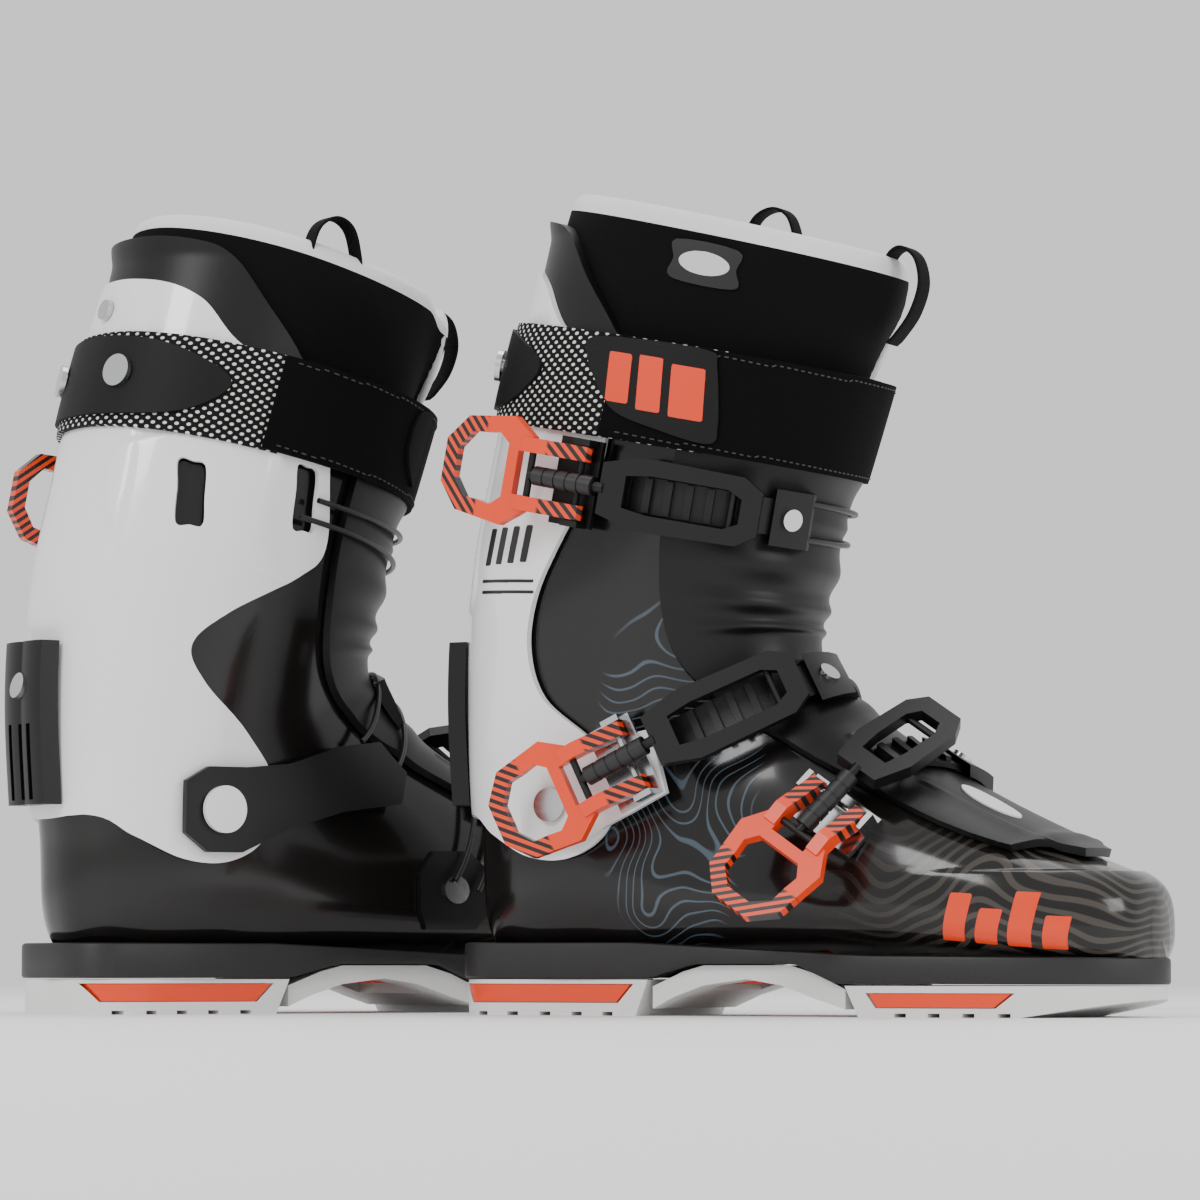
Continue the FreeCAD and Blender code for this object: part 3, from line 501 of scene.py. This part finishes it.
def cuff_offset(p, s, deg):
    x, z = p[..., 0], p[..., 2]
    panel = fades(-inside(PANEL, x, z), -1.2, 1.2) * (~lateral(p))
    spine = fades(-inside(SPINE, x, z), -1.5, 1.5)
    return CUFF_GAP + CUFF_WALL - 1.1 + 1.0 * panel + 0.9 * spine


def cuff_field(p, s, deg):
    x, z = p[..., 0], p[..., 2]
    outer = inside(CUFF_OUTER, x, z)
    inner = inside(CUFF_INNER, x, z)
    for window in WINDOWS:
        inner = np.maximum(inner, -inside(window, x, z))
    return np.where(lateral(p), outer, inner)


white, white_tree, white_shader = coat("white_polyurethane_moulded_gloss", "f0f0f1", 0.16, Coat_Weight=0.5,
                                       Coat_Roughness=0.04)
CUFF_MESH = skin((9.6, 16.2), (70, 290), (210, 241), cuff_offset, 2.4, cuff_field)
for side in SIDES:
    points, faces, lay, _ = CUFF_MESH
    cuff = add_mesh(side + "_rear_cuff", points, faces, side, [white], lay=lay)
    soften(cuff, 0.7)
    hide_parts(side + "_cuff")
    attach(cuff, side + "_cuff_body")


# ---- Spoiler -------------------------------------------------------------------------------------
# A black satin plate behind the calf, inside the cuff, with a lip that flares at the top.
SPOILER_SIDE = smooth_loop([(-30, 262), (-30, 334), (30, 333), (54, 329), (66, 322), (78, 302), (92, 280),
                            (98, 262), (40, 258)], 8)


def spoiler_offset(p, s, deg):
    lip = fades(p[..., 2], 322, 332) * 2.4
    return 1.5 + lip


black_nylon, nylon_tree, nylon_shader = coat("black_nylon_moulded_satin", "090909", 0.4, Specular_IOR_Level=0.35)
grain(nylon_tree, nylon_shader, 0.5, 0.18)
SPOILER_MESH = skin((14.3, 16.9), (90, 270), (80, 141), spoiler_offset, 4.6,
                    lambda p, s, deg: inside(SPOILER_SIDE, p[..., 0], p[..., 2]))
for side in SIDES:
    points, faces, lay, _ = SPOILER_MESH
    spoiler = add_mesh(side + "_spoiler_plate", points, faces, side, [black_nylon], lay=lay)
    soften(spoiler, 0.8)
    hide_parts(side + "_spoiler")
    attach(spoiler, side + "_cuff_body")
    coat_node(side + "_rear_block", black_nylon, width=1.2, segments=3)


# ---- Tongue --------------------------------------------------------------------------------------
# Black satin polyurethane, moulded with pleats over the shin so that it folds as the leg leans in,
# and with a smooth flap over the toes. It lies over the shell and is held by the cables.
TONGUE_GAP = 1.0
TONGUE_WALL = 4.2
TONGUE_SIDE = smooth_loop([(134, 272), (120, 234), (110, 192), (110, 152), (126, 128), (158, 108), (198, 88),
                           (232, 73), (262, 63), (277, 62), (281, 72), (288, 110), (330, 300), (210, 300)], 8)
PLEATS = ((14.75, 0.12, 1.6), (14.35, 0.14, 2.6), (13.88, 0.06, 1.2), (13.42, 0.17, 2.8), (12.95, 0.13, 2.4),
          (12.5, 0.12, 1.8), (11.0, 0.25, 1.5), (9.4, 0.3, 1.2))


def tongue_offset(p, s, deg):
    front = 1 - fades(np.abs(deg), 34, 66)
    pleat = sum(h * np.exp(-((s - at) / w) ** 2) for at, w, h in PLEATS)
    rib = 0.5 * (1 - fades(np.abs(np.abs(deg) - 24), 0.8, 2.2)) * (s < 8.6)
    lip = 1.3 * np.exp(-((s - 3.9) / 0.22) ** 2)
    return TONGUE_GAP + TONGUE_WALL - 0.6 + pleat * front + rib + lip


def tongue_field(p, s, deg):
    side = inside(TONGUE_SIDE, p[..., 0], p[..., 2])
    top = p[..., 2] - np.interp(p[..., 0], [60, 150, 300], [282, 264, 246])
    point = (np.abs(p[..., 1] - 3) - 30) * 0.8 + (p[..., 0] - 258)
    return np.maximum(np.maximum(side, top), point * 0.6 - 3)


satin, satin_tree, satin_shader = coat("black_polyurethane_moulded_satin", "090909", 0.42,
                                       Specular_IOR_Level=0.3, Coat_Weight=0.03,
                                       Coat_Roughness=0.3)
grain(satin_tree, satin_shader, 0.7, 0.15)
TONGUE_MESH = skin((2.6, 15.6), (-100, 100), (320, 161), tongue_offset, 3.4, tongue_field)
for side in SIDES:
    points, faces, lay, _ = TONGUE_MESH
    tongue = add_mesh(side + "_tongue", points, faces, side, [satin], lay=lay)
    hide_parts(side + "_tongue_instep", side + "_tongue_shin")
    ankle_blend(tongue)


# ---- Liner ---------------------------------------------------------------------------------------
# Heat-mouldable foam liner covered in black stretch fabric, wrapped over itself at the front of
# the leg, with a pale fleece lining that shows as a band round the rim.
LINER_OUT = -4.6
LINER_WALL = 8.0


def liner_profile():
    """Rows from the outside of the ankle, up over the soft rim and down the inside to the toe."""
    rows = [(s, 0.0) for s in np.linspace(10.6, 15.86, 54)]
    for a in np.linspace(0, math.pi, 15):
        rows.append((15.86 + 0.14 * math.sin(a) ** 0.9, -LINER_WALL * (1 - math.cos(a)) / 2))
    rows += [(s, -LINER_WALL) for s in np.linspace(15.86, 0.0, 90)]
    return np.array(rows)


def puffed(s):
    """The foam swells between the strap and the rim, in millimetres."""
    return 2.0 * np.sin(np.clip((s - 15.1) / 0.9, 0, 1) * math.pi) ** 0.8


def liner_points(cols):
    rows = liner_profile()
    s, d = np.meshgrid(rows[:, 0], np.linspace(-180, 180, cols), indexing="ij")[0], rows[:, 1][:, None]
    deg = np.meshgrid(rows[:, 0], np.linspace(-180, 180, cols), indexing="ij")[1]
    above = fades(s, 15.0, 15.7)
    puff = puffed(s) * above
    # the wrapped flap: its edge runs slanting down the inner front of the leg
    edge = -38 + 26 * (16 - s)
    step = 2.6 * fades(deg, edge - 5, edge) * (1 - fades(deg, 60, 150)) * fades(s, 13.5, 14.3)
    crumple = 0.5 * np.sin(np.radians(deg) * 5 + s * 9) * fades(s, 14.9, 15.6)
    p = last_at(s, deg, LINER_OUT + d + puff + (step + crumple) * (d > -4))
    tilt = fades(np.abs(deg - edge), 14, 0) * fades(s, 15.2, 16.0)
    p[..., 2] -= 7.0 * tilt * (d > -LINER_WALL - 1)
    return p, s, d + 0 * s, deg


wetsuit, wetsuit_tree, wetsuit_shader = coat("black_foam_backed_jersey", "080808", 0.85, Specular_IOR_Level=0.12)
grain(wetsuit_tree, wetsuit_shader, 1.1, 0.5, 2.0)
fleece, fleece_tree, fleece_shader = coat("pale_grey_fleece", "dcdcdd", 0.95, Sheen_Weight=0.4)
grain(fleece_tree, fleece_shader, 1.6, 0.9, 4.0)

cols = 181
liner_at, liner_s, liner_d, liner_deg = liner_points(cols)
rows = len(liner_at)
liner_faces, liner_layer = [], []
for r in range(rows - 1):
    for c in range(cols - 1):
        c2 = 0 if c == cols - 2 else c + 1
        liner_faces.append([r * cols + c, r * cols + c2, (r + 1) * cols + c2, (r + 1) * cols + c])
        liner_layer.append(1 if r >= 54 and r < 68 else (2 if r >= 68 else 0))
for side in SIDES:
    liner = add_mesh(side + "_liner", liner_at.reshape(-1, 3), liner_faces, side, [wetsuit, fleece, wetsuit],
                     layer=liner_layer)
    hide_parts(side + "_liner_cuff", side + "_liner_foot")
    ankle_blend(liner)


# ---- Pull loops ----------------------------------------------------------------------------------
# Two loops of 11 mm black webbing sewn into the rim, one at the shin and one on the inner side.
webbing, webbing_tree, webbing_shader = coat("black_polyester_webbing_woven", "090909", 0.8, Specular_IOR_Level=0.15)
weave_place = add_node(webbing_tree, "ShaderNodeTexCoord")
weave = add_node(webbing_tree, "ShaderNodeTexWave",
                 {"Scale": 420.0, "Distortion": 0.4, "bands_direction": "DIAGONAL"},
                 {"Vector": weave_place.outputs["Object"]})
weave_bump = add_node(webbing_tree, "ShaderNodeBump", {"Strength": 0.5, "Distance": 0.0004},
                      {"Height": weave.outputs["Fac"]})
webbing_tree.links.new(weave_bump.outputs["Normal"], webbing_shader.inputs["Normal"])


def ribbon(name, side, path, across, width, thick, coats):
    """A flat strap along a smooth path; across gives its broad direction at each point."""
    p = np.array(path, float)
    tangent = np.gradient(p, axis=0)
    tangent /= np.linalg.norm(tangent, axis=1)[:, None]
    wide = np.array(across, float) + 0 * p
    wide -= tangent * (wide * tangent).sum(1)[:, None]
    wide /= np.linalg.norm(wide, axis=1)[:, None]
    flat_out = np.cross(tangent, wide)
    ring = []
    for i in range(len(p)):
        for u, v in ((-0.5, -0.3), (-0.42, -0.5), (0.42, -0.5), (0.5, -0.3), (0.5, 0.3), (0.42, 0.5), (-0.42, 0.5),
                     (-0.5, 0.3)):
            ring.append(p[i] + wide[i] * width * u + flat_out[i] * thick * v)
    n = len(p)
    faces = [[i * 8 + k, i * 8 + (k + 1) % 8, (i + 1) * 8 + (k + 1) % 8, (i + 1) * 8 + k]
             for i in range(n - 1) for k in range(8)]
    faces += [list(range(8)), list(range((n - 1) * 8, n * 8))]
    return add_mesh(name, ring, faces, side, coats)


def curve_through(points, per=10):
    """An open smooth curve through a few points."""
    p = np.array(points, float)
    p = np.concatenate([[2 * p[0] - p[1]], p, [2 * p[-1] - p[-2]]])
    t = np.arange(per)[:, None] / per
    out = []
    for i in range(1, len(p) - 2):
        a, b, c, e = p[i - 1], p[i], p[i + 1], p[i + 2]
        out.append(0.5 * (2 * b + (c - a) * t + (2 * a - 5 * b + 4 * c - e) * t ** 2
                          + (3 * b - a - 3 * c + e) * t ** 3))
    return np.concatenate(out + [[p[-2]]])


rim_front = last_at(RIM, 0, LINER_OUT - 2.0)
rim_inner = last_at(RIM, -96, LINER_OUT - 4.0)
FRONT_LOOP = curve_through([rim_front + np.array(o) for o in
                            ((-3, 0, -22), (-1, 0, -4), (5, 0, 3), (12.5, 0, -1), (15, 0, -12), (11, 0, -24),
                             (4, 0, -33), (0.5, 0, -36))])
INNER_LOOP = curve_through([rim_inner + np.array(o) for o in
                            ((-13, -1, -14), (-12, -1, -2), (-8, 0, 9), (0, 1, 13), (8, 0, 9), (12, -1, -2),
                             (13, -1, -14))])
for side in SIDES:
    front = ribbon(side + "_front_pull_loop", side, FRONT_LOOP, (0, 1, 0), 10.5, 1.5, [webbing])
    inner = ribbon(side + "_inner_pull_loop", side, INNER_LOOP, (0, 1, 0), 9.0, 1.4, [webbing])
    for loop in (front, inner):
        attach(loop, side + "_cuff_body")


# ---- Flap piping ---------------------------------------------------------------------------------
# The edge of the wrapped flap is bound in the same pale fleece, from the rim down to the strap.
def tube_along(path, radius, sections=10):
    """A round cord along a path: points and faces."""
    p = np.array(path)
    tangent = np.gradient(p, axis=0)
    tangent /= np.linalg.norm(tangent, axis=1)[:, None]
    n1 = np.cross(tangent, (0.2, 0.1, 0.97))
    n1 /= np.linalg.norm(n1, axis=1)[:, None]
    n2 = np.cross(tangent, n1)
    a = 2 * math.pi * np.arange(sections) / sections
    ring = p[:, None] + radius * (n1[:, None] * np.cos(a)[:, None] + n2[:, None] * np.sin(a)[:, None])
    n = len(p)
    faces = [[i * sections + k, i * sections + (k + 1) % sections, (i + 1) * sections + (k + 1) % sections,
              (i + 1) * sections + k] for i in range(n - 1) for k in range(sections)]
    faces += [list(range(sections)), list(range((n - 1) * sections, n * sections))]
    return ring.reshape(-1, 3), faces


flap_s = np.linspace(14.7, 15.82, 60)
flap_deg = -38 + 26 * (16 - flap_s)
FLAP_EDGE = last_at(flap_s, flap_deg - 1.5, LINER_OUT + 2.2 + puffed(flap_s))
for side in SIDES:
    points, faces = tube_along(FLAP_EDGE, 1.9)
    piping = add_mesh(side + "_flap_piping", points, faces, side, [fleece])
    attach(piping, side + "_cuff_body")


# ---- Liner tag -----------------------------------------------------------------------------------
# A small woven label, left plain, sewn to the outer side of the liner under the rim.
TAG = smooth_loop([(118, 299), (144, 292.5), (145.5, 300), (147, 308), (121, 314.5), (119.5, 307)], 4)
tag_black, _, _ = coat("black_satin_label", "0e0e0f", 0.6)
tag_pale, _, _ = coat("pale_satin_label", "c9c9c8", 0.6)
OVAL = smooth_loop([(132.5 + 10.5 * math.cos(a) + 1.2 * math.sin(a), 303.6 + 4.6 * math.sin(a) - 2.6 * math.cos(a))
                    for a in np.linspace(0, 2 * math.pi, 13)[:-1]], 4)


def decal(name, side, loop, s_range, deg_range, offset, thick, steps, coats, body, plan=False):
    """A thin print or patch that follows the layer under it, outlined in side view or in plan."""
    def field(p, s, deg):
        return inside(loop, p[..., 0], p[..., 1 if plan else 2])
    over = offset if callable(offset) else (lambda p, s, deg: offset + 0 * s)
    points, faces, lay, _ = skin(s_range, deg_range, steps, over, thick, field)
    piece = add_mesh(name, points, faces, side, coats, lay=lay)
    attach(piece, side + body)
    return piece


def liner_puff(extra):
    def over(p, s, deg):
        return LINER_OUT + extra + puffed(s) + 2.6
    return over


for side in SIDES:
    decal(side + "_liner_label", side, TAG, (15.2, 16.0), (40, 125), liner_puff(0.9), 0.8, (60, 90),
          [tag_black], "_cuff_body")
    decal(side + "_liner_label_oval", side, OVAL, (15.2, 16.0), (40, 125), liner_puff(1.15), 0.4, (90, 120),
          [tag_pale], "_cuff_body")


# ---- Power strap ---------------------------------------------------------------------------------
# A 43 mm strap round the cuff: black mesh with white dots at the back and sides, plain hook-and-loop
# strap with stitched edges at the front, a stitched leather patch at the back with two screws.
STRAP_WIDTH = 43.0
STRAP_LIFT = 7.0


def strap_level(p, back=247.0, front=219.0):
    """Height of a point above the lower edge of the strap."""
    lean = (front - back) / 145.0
    return p[..., 2] - (back + lean * (p[..., 0] - 25))


def strap_field(low, high):
    def field(p, s, deg):
        level = strap_level(p)
        return np.maximum(low - level, level - high)
    return field


def strap_offset(extra, swell=0.5):
    def over(p, s, deg):
        level = strap_level(p)
        return STRAP_LIFT + extra + swell * np.sin(np.clip(level / STRAP_WIDTH, 0, 1) * math.pi) ** 0.5
    return over


mesh_web, mesh_tree, mesh_shader = coat("black_mesh_webbing_with_white_dots", "090909", 0.75, Specular_IOR_Level=0.2)
# Dots 1.7 mm across in rows 4.2 mm apart, drawn from the walk along the strap.
lay_place = add_node(mesh_tree, "ShaderNodeAttribute", {"attribute_name": "lay"})
dots = add_node(mesh_tree, "ShaderNodeTexVoronoi", {"Scale": 1 / 3.6, "Randomness": 0.0,
                                                     "voronoi_dimensions": "2D"})
turned = add_node(mesh_tree, "ShaderNodeMapping",
                  {"Rotation": (0, 0, math.radians(45)), "Scale": (1.0, 1.35, 1.0)},
                  {"Vector": lay_place.outputs["Vector"]})
mesh_tree.links.new(turned.outputs["Vector"], dots.inputs["Vector"])
spot = ramp(mesh_tree, dots.outputs["Distance"], 0.30, 0.22)
mesh_tree.links.new(mixed(mesh_tree, spot, "0a0a0a", "d9d9d6"), mesh_shader.inputs["Base Color"])
mesh_bump = add_node(mesh_tree, "ShaderNodeBump", {"Strength": 0.6, "Distance": 0.0005}, {"Height": spot})
mesh_tree.links.new(mesh_bump.outputs["Normal"], mesh_shader.inputs["Normal"])

velcro, velcro_tree, velcro_shader = coat("black_hook_and_loop_strap", "070707", 0.92, Specular_IOR_Level=0.12)
grain(velcro_tree, velcro_shader, 0.9, 0.7, 2.0)
hide, hide_tree, hide_shader = coat("black_split_leather", "0b0b0b", 0.6, Specular_IOR_Level=0.25)
grain(hide_tree, hide_shader, 1.0, 0.4, 4.0)
ink_orange, _, _ = coat("orange_screen_print", "e63a07", 0.5)

# the patches, given in the side view; the lower edge of the strap falls 28 mm from back to front
BACK_PATCH = smooth_loop([(-20, 296), (10, 292), (36, 285), (52, 276), (62, 265.5), (52, 256), (36, 251.5),
                          (10, 254), (-20, 259)], 8)
SIDE_PATCH = smooth_loop([(86, 268), (88, 275), (110, 273), (134, 268), (136, 262), (134, 238), (130, 231),
                          (112, 237), (96, 245), (89, 258)], 6)
FRONT_PATCH = smooth_loop([(150, 262), (176, 258), (186, 256), (190, 236), (186, 218), (170, 220), (150, 226),
                           (141, 243)], 6)
BLOCKS = [smooth_loop([(x + lean, top), (x + lean + wide, top - 0.2 * wide), (x + wide, low - 0.2 * wide),
                       (x, low)], 1)
          for x, wide, low, top, lean in ((93, 9, 249, 269, 3), (105, 9, 245, 267, 3), (117, 12, 242, 263, 3))]

STRAP_BACK = skin((13.0, 16.5), (62, 262), (150, 300), strap_offset(0.0), 1.9, strap_field(0, STRAP_WIDTH))
STRAP_FRONT = skin((13.0, 16.5), (-104, 92), (150, 260), strap_offset(1.9), 1.9,
                   strap_field(0.3, STRAP_WIDTH - 0.3))


def seam_line(loop_points, name, side, coats, body, radius=0.32):
    """A sewn thread lying on the fabric, as short stitches."""
    p = np.array(loop_points)
    ring, faces = [], []
    for i in range(0, len(p) - 1, 2):
        a, b = p[i], p[i + 1]
        along = (b - a) / max(np.linalg.norm(b - a), 1e-6)
        n1 = np.cross(along, (0.3, 0.5, 0.8))
        n1 /= np.linalg.norm(n1)
        n2 = np.cross(along, n1)
        start = len(ring)
        for q in (a, b):
            for k in range(4):
                ring.append(q + (n1 * math.cos(k * math.pi / 2) + n2 * math.sin(k * math.pi / 2)) * radius)
        faces += [[start + k, start + (k + 1) % 4, start + 4 + (k + 1) % 4, start + 4 + k] for k in range(4)]
        faces += [[start, start + 1, start + 2, start + 3], [start + 4, start + 5, start + 6, start + 7]]
    piece = add_mesh(name, ring, faces, side, coats, smooth=False)
    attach(piece, side + body)
    return piece


thread, _, _ = coat("dark_grey_polyester_thread", "3a3a3c", 0.7)


def level_run(level, deg_range, offset, count):
    """A line round the leg at a set height above the lower edge of the strap."""
    out = []
    for deg in np.linspace(*deg_range, count):
        s = np.linspace(13.0, 16.4, 200)
        p = last_at(s, deg + 0 * s, 0 * s)
        k = int(np.argmin(np.abs(strap_level(p) - level)))
        out.append(last_at(s[k], deg, offset))
    return np.array(out)


for side in SIDES:
    points, faces, lay, _ = STRAP_BACK
    back = add_mesh(side + "_strap_mesh_part", points, faces, side, [mesh_web], lay=lay)
    points, faces, lay, _ = STRAP_FRONT
    front = add_mesh(side + "_strap_front_part", points, faces, side, [velcro], lay=lay)
    for piece in (back, front):
        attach(piece, side + "_cuff_body")
    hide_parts(side + "_power_strap")
    decal(side + "_strap_back_patch", side, BACK_PATCH, (13.8, 16.4), (108, 262), strap_offset(1.6), 1.5,
          (120, 160), [hide], "_cuff_body")
    decal(side + "_strap_side_patch", side, SIDE_PATCH, (13.2, 16.4), (20, 120), strap_offset(3.1), 1.2,
          (130, 120), [hide], "_cuff_body")
    for i, block in enumerate(BLOCKS):
        decal(side + "_strap_print_%d" % i, side, block, (13.2, 16.4), (20, 120), strap_offset(3.35), 0.4,
              (170, 160), [ink_orange], "_cuff_body")
    for i, level in enumerate((2.6, STRAP_WIDTH - 2.6)):
        seam_line(level_run(level, (-100, 88), STRAP_LIFT + 2.3, 150), side + "_strap_seam_%d" % i, side,
                  [thread], "_cuff_body")
    decal(side + "_strap_ring_wrap", side, FRONT_PATCH, (13.2, 16.4), (-112, -44), strap_offset(3.6), 1.6,
                  (110, 90), [webbing], "_cuff_body")


# ---- Buckle levers -------------------------------------------------------------------------------
# Open lever handles of orange nylon with black diagonal hatching printed at both ends, each on a
# steel pin. The hatching is ruled from the hinge line of each lever, 3.2 mm apart.
EYE_BACK = 20.0
EYE_RISE = 6.0
HATCH = 3.2


def lever_axes(side, buckle):
    """Hinge point, direction along the strap and hinge line of a buckle, in the row frame."""
    hinge, eye = (JOINTS[side + "_" + buckle + "_" + end] for end in ("lever_hinge", "frame_eye"))
    across = np.array(hinge["axis"])
    v = (np.array(eye["pos_m"]) - np.array(hinge["pos_m"])) * 1000.0
    along = -EYE_BACK * v - EYE_RISE * np.cross(v, across)
    return np.array(hinge["pos_m"]), along / np.linalg.norm(along), across


def hatched(side, buckle):
    """Orange moulded plastic with black hatching at the finger end and round the hinge."""
    material, tree, shader = coat("orange_nylon_moulded_" + side + "_" + buckle, "ee3f08", 0.3, Coat_Weight=0.2,
                                  Coat_Roughness=0.1)
    hinge, along, across = lever_axes(side, buckle)
    place = add_node(tree, "ShaderNodeTexCoord")
    local = add_node(tree, "ShaderNodeVectorMath", {"operation": "SUBTRACT", 1: tuple(hinge)},
                     {0: place.outputs["Object"]})

    def measured(direction):
        settings = {"operation": "DOT_PRODUCT", 1: tuple(direction * 1000.0)}
        return add_node(tree, "ShaderNodeVectorMath", settings, {0: local.outputs["Vector"]}).outputs["Value"]

    slant = maths(tree, "MULTIPLY", measured((along + across) / math.sqrt(2)), 2 * math.pi / HATCH)
    sharp = ramp(tree, maths(tree, "SINE", slant), -0.1, 0.1)
    reach = measured(along)
    ends = maths(tree, "ADD", ramp(tree, reach, -42.0, -43.0), ramp(tree, reach, -13.0, -12.0))
    striped = mixed(tree, maths(tree, "MULTIPLY", sharp, ends), "ee3f08", "17130f")
    tree.links.new(striped, shader.inputs["Base Color"])
    return material


steel, _, _ = coat("bright_zinc_plated_steel", "c9cacc", 0.22, Metallic=1.0)
for side in SIDES:
    for buckle in ("upper", "instep", "toe"):
        coat_node("%s_%s_lever" % (side, buckle), hatched(side, buckle), width=0.8, segments=3)


# ---- Buckle frames and adjusters -----------------------------------------------------------------
# Black nylon loops that hook over the racks, on a steel rod with a ribbed black barrel.
barrel, barrel_tree, barrel_shader = coat("black_ribbed_nylon_barrel", "19191a", 0.45)
for side in SIDES:
    for buckle in ("upper", "instep", "toe"):
        coat_node("%s_%s_frame" % (side, buckle), black_nylon, width=0.6)
        coat_node("%s_%s_adjuster" % (side, buckle), barrel, width=0.3)


# ---- Racks, buckle bases and screws --------------------------------------------------------------
# Toothed racks of black nylon screwed to the boot; stamped steel bases under the levers; plated
# round-head screws.
for side in SIDES:
    for part in ("_racks", "_upper_rack"):
        coat_node(side + part, black_nylon, width=0.4)
    coat_node(side + "_buckle_bases", steel, width=0.4)
    coat_node(side + "_cuff_fasteners", steel, width=0.3)


# ---- Instep arms ---------------------------------------------------------------------------------
# White plate on the outer ankle bolt carrying the instep lever, black arm with a white disc on the
# inner side, and a black anchor for the toe cables.
def boot_point(side, points):
    """Row metres back to boot millimetres."""
    turn, heel = PLACES[side]
    p = (np.array(points) - heel) @ turn * 1000.0
    return p * np.array([1.0, -1.0 if side == "left" else 1.0, 1.0])


ARM_TOE = 150.0
DISC_R = 13.5
for side in SIDES:
    arms = coat_node(side + "_instep_arms", black_nylon, white, width=0.8, segments=3)
    p = boot_point(side, [polygon.center for polygon in arms.data.polygons])
    arms.data.polygons.foreach_set("material_index", ((p[:, 0] < ARM_TOE) & (p[:, 1] < 0)).astype(np.int32))
    bolts = coat_node(side + "_shell_fasteners", steel, white, width=0.3)
    p = boot_point(side, [polygon.center for polygon in bolts.data.polygons])
    cap = (np.hypot(p[:, 0] - ANKLE[0], p[:, 2] - ANKLE[2]) < DISC_R) & (p[:, 1] > 0)
    bolts.data.polygons.foreach_set("material_index", cap.astype(np.int32))


# ---- Cables --------------------------------------------------------------------------------------
# Steel cables in a black coat, in pairs round the front of the tongue.
cable_black, _, _ = coat("black_coated_steel_cable", "121212", 0.4)
for side in SIDES:
    for part in ("_cables", "_upper_cables"):
        coat_node(side + part, cable_black)


# ---- Prints on shell and cuff --------------------------------------------------------------------
# Plain printed shapes: orange blocks on the outer toe, black bars on the outer cuff, and a white
# moulded oval on the toe flap.
def leaning_block(x, z, width, height, lean):
    return smooth_loop([(x, z), (x + width, z - 0.06 * width), (x + width + lean, z + height - 0.06 * width),
                        (x + lean, z + height)], 1)


TOE_BLOCKS = [leaning_block(232, 31, 9, 18, 5), leaning_block(245, 30, 9, 13, 4), leaning_block(258, 29, 9, 20, 5),
              leaning_block(271, 28, 9, 12, 3)]
CUFF_BARS = [leaning_block(x, 186, 3.4, 15, 4) for x in (26, 33, 40, 47)]
CUFF_RULES = [leaning_block(24, z, 30, 1.3, 0) for z in (179, 174.5)]
FLAP_OVAL = smooth_loop([(237 + 13 * math.cos(a), -9 + 7.5 * math.sin(a))
                         for a in np.linspace(0, 2 * math.pi, 13)[:-1]], 4)
print_black, _, _ = coat("black_pad_print", "131313", 0.3)
print_orange, _, _ = coat("orange_pad_print", "e83c08", 0.3)
oval_white, _, _ = coat("white_plastic_badge", "e6e6e4", 0.3)
for side in SIDES:
    for i, block in enumerate(TOE_BLOCKS):
        decal("%s_toe_print_%d" % (side, i), side, block, (0.6, 7), (60, 140),
              lambda p, s, deg: shell_offset(p, s, deg) + 0.25, 0.5, (150, 110), [print_orange],
              "_shell_body")
    for i, bar in enumerate(CUFF_BARS + CUFF_RULES):
        decal("%s_cuff_print_%d" % (side, i), side, bar, (11.5, 15.0), (90, 170),
              lambda p, s, deg: cuff_offset(p, s, deg) + 0.2, 0.4, (190, 170), [print_black], "_cuff_body")
    decal(side + "_flap_badge", side, FLAP_OVAL, (4, 8.5), (-30, 70),
                  lambda p, s, deg: tongue_offset(p, s, deg) + 0.7, 1.4, (110, 100), [oval_white], "_shell_body",
                  plan=True)


# ---- Floor, light and camera ---------------------------------------------------------------------
# A pale studio floor with broad soft lights, seen from low down at the front.
floor_mesh = bpy.data.meshes.new("floor")
floor_mesh.from_pydata([(-6, -6, 0), (6, -6, 0), (6, 6, 0), (-6, 6, 0)], [], [(0, 1, 2, 3)])
floor = bpy.data.objects.new("floor", floor_mesh)
floor_coat, _, _ = coat("white_studio_floor", "fafafa", 0.6)
floor_mesh.materials.append(floor_coat)
bpy.context.scene.collection.objects.link(floor)

world = bpy.data.worlds.new("studio")
world.use_nodes = True
world.node_tree.nodes["Background"].inputs["Color"].default_value = linear("ffffff")
world.node_tree.nodes["Background"].inputs["Strength"].default_value = 0.95
bpy.context.scene.world = world


def soft_light(name, spot, size, watts):
    """A square area light aimed at the middle of the boots."""
    light = bpy.data.lights.new(name, "AREA")
    light.size = size
    light.energy = watts
    lamp = bpy.data.objects.new(name, light)
    lamp.location = spot
    lamp.rotation_euler = (Vector((0, 0, 0.15)) - Vector(spot)).to_track_quat("-Z", "Y").to_euler()
    bpy.context.scene.collection.objects.link(lamp)


soft_light("key", (-1.3, -1.6, 1.5), 0.8, 22)
soft_light("fill", (1.7, -1.2, 0.8), 0.7, 10)
soft_light("top", (0.1, 0.4, 1.9), 1.2, 14)

VIEW_TURN = math.radians(-3.0)
VIEW_AWAY = 2.0
VIEW_HEIGHT = 0.02
AIM = Vector((0.018, 0.0, 0.176))
STAND = Vector((0.018, 0.0, 0.0))
camera = bpy.data.objects.new("camera", bpy.data.cameras.new("camera"))
camera.data.lens = 141.0
camera.location = STAND + Vector((VIEW_AWAY * math.sin(VIEW_TURN), -VIEW_AWAY * math.cos(VIEW_TURN),
                                  VIEW_HEIGHT))
camera.rotation_euler = (AIM - camera.location).to_track_quat("-Z", "Y").to_euler()
bpy.context.scene.collection.objects.link(camera)
bpy.context.scene.camera = camera
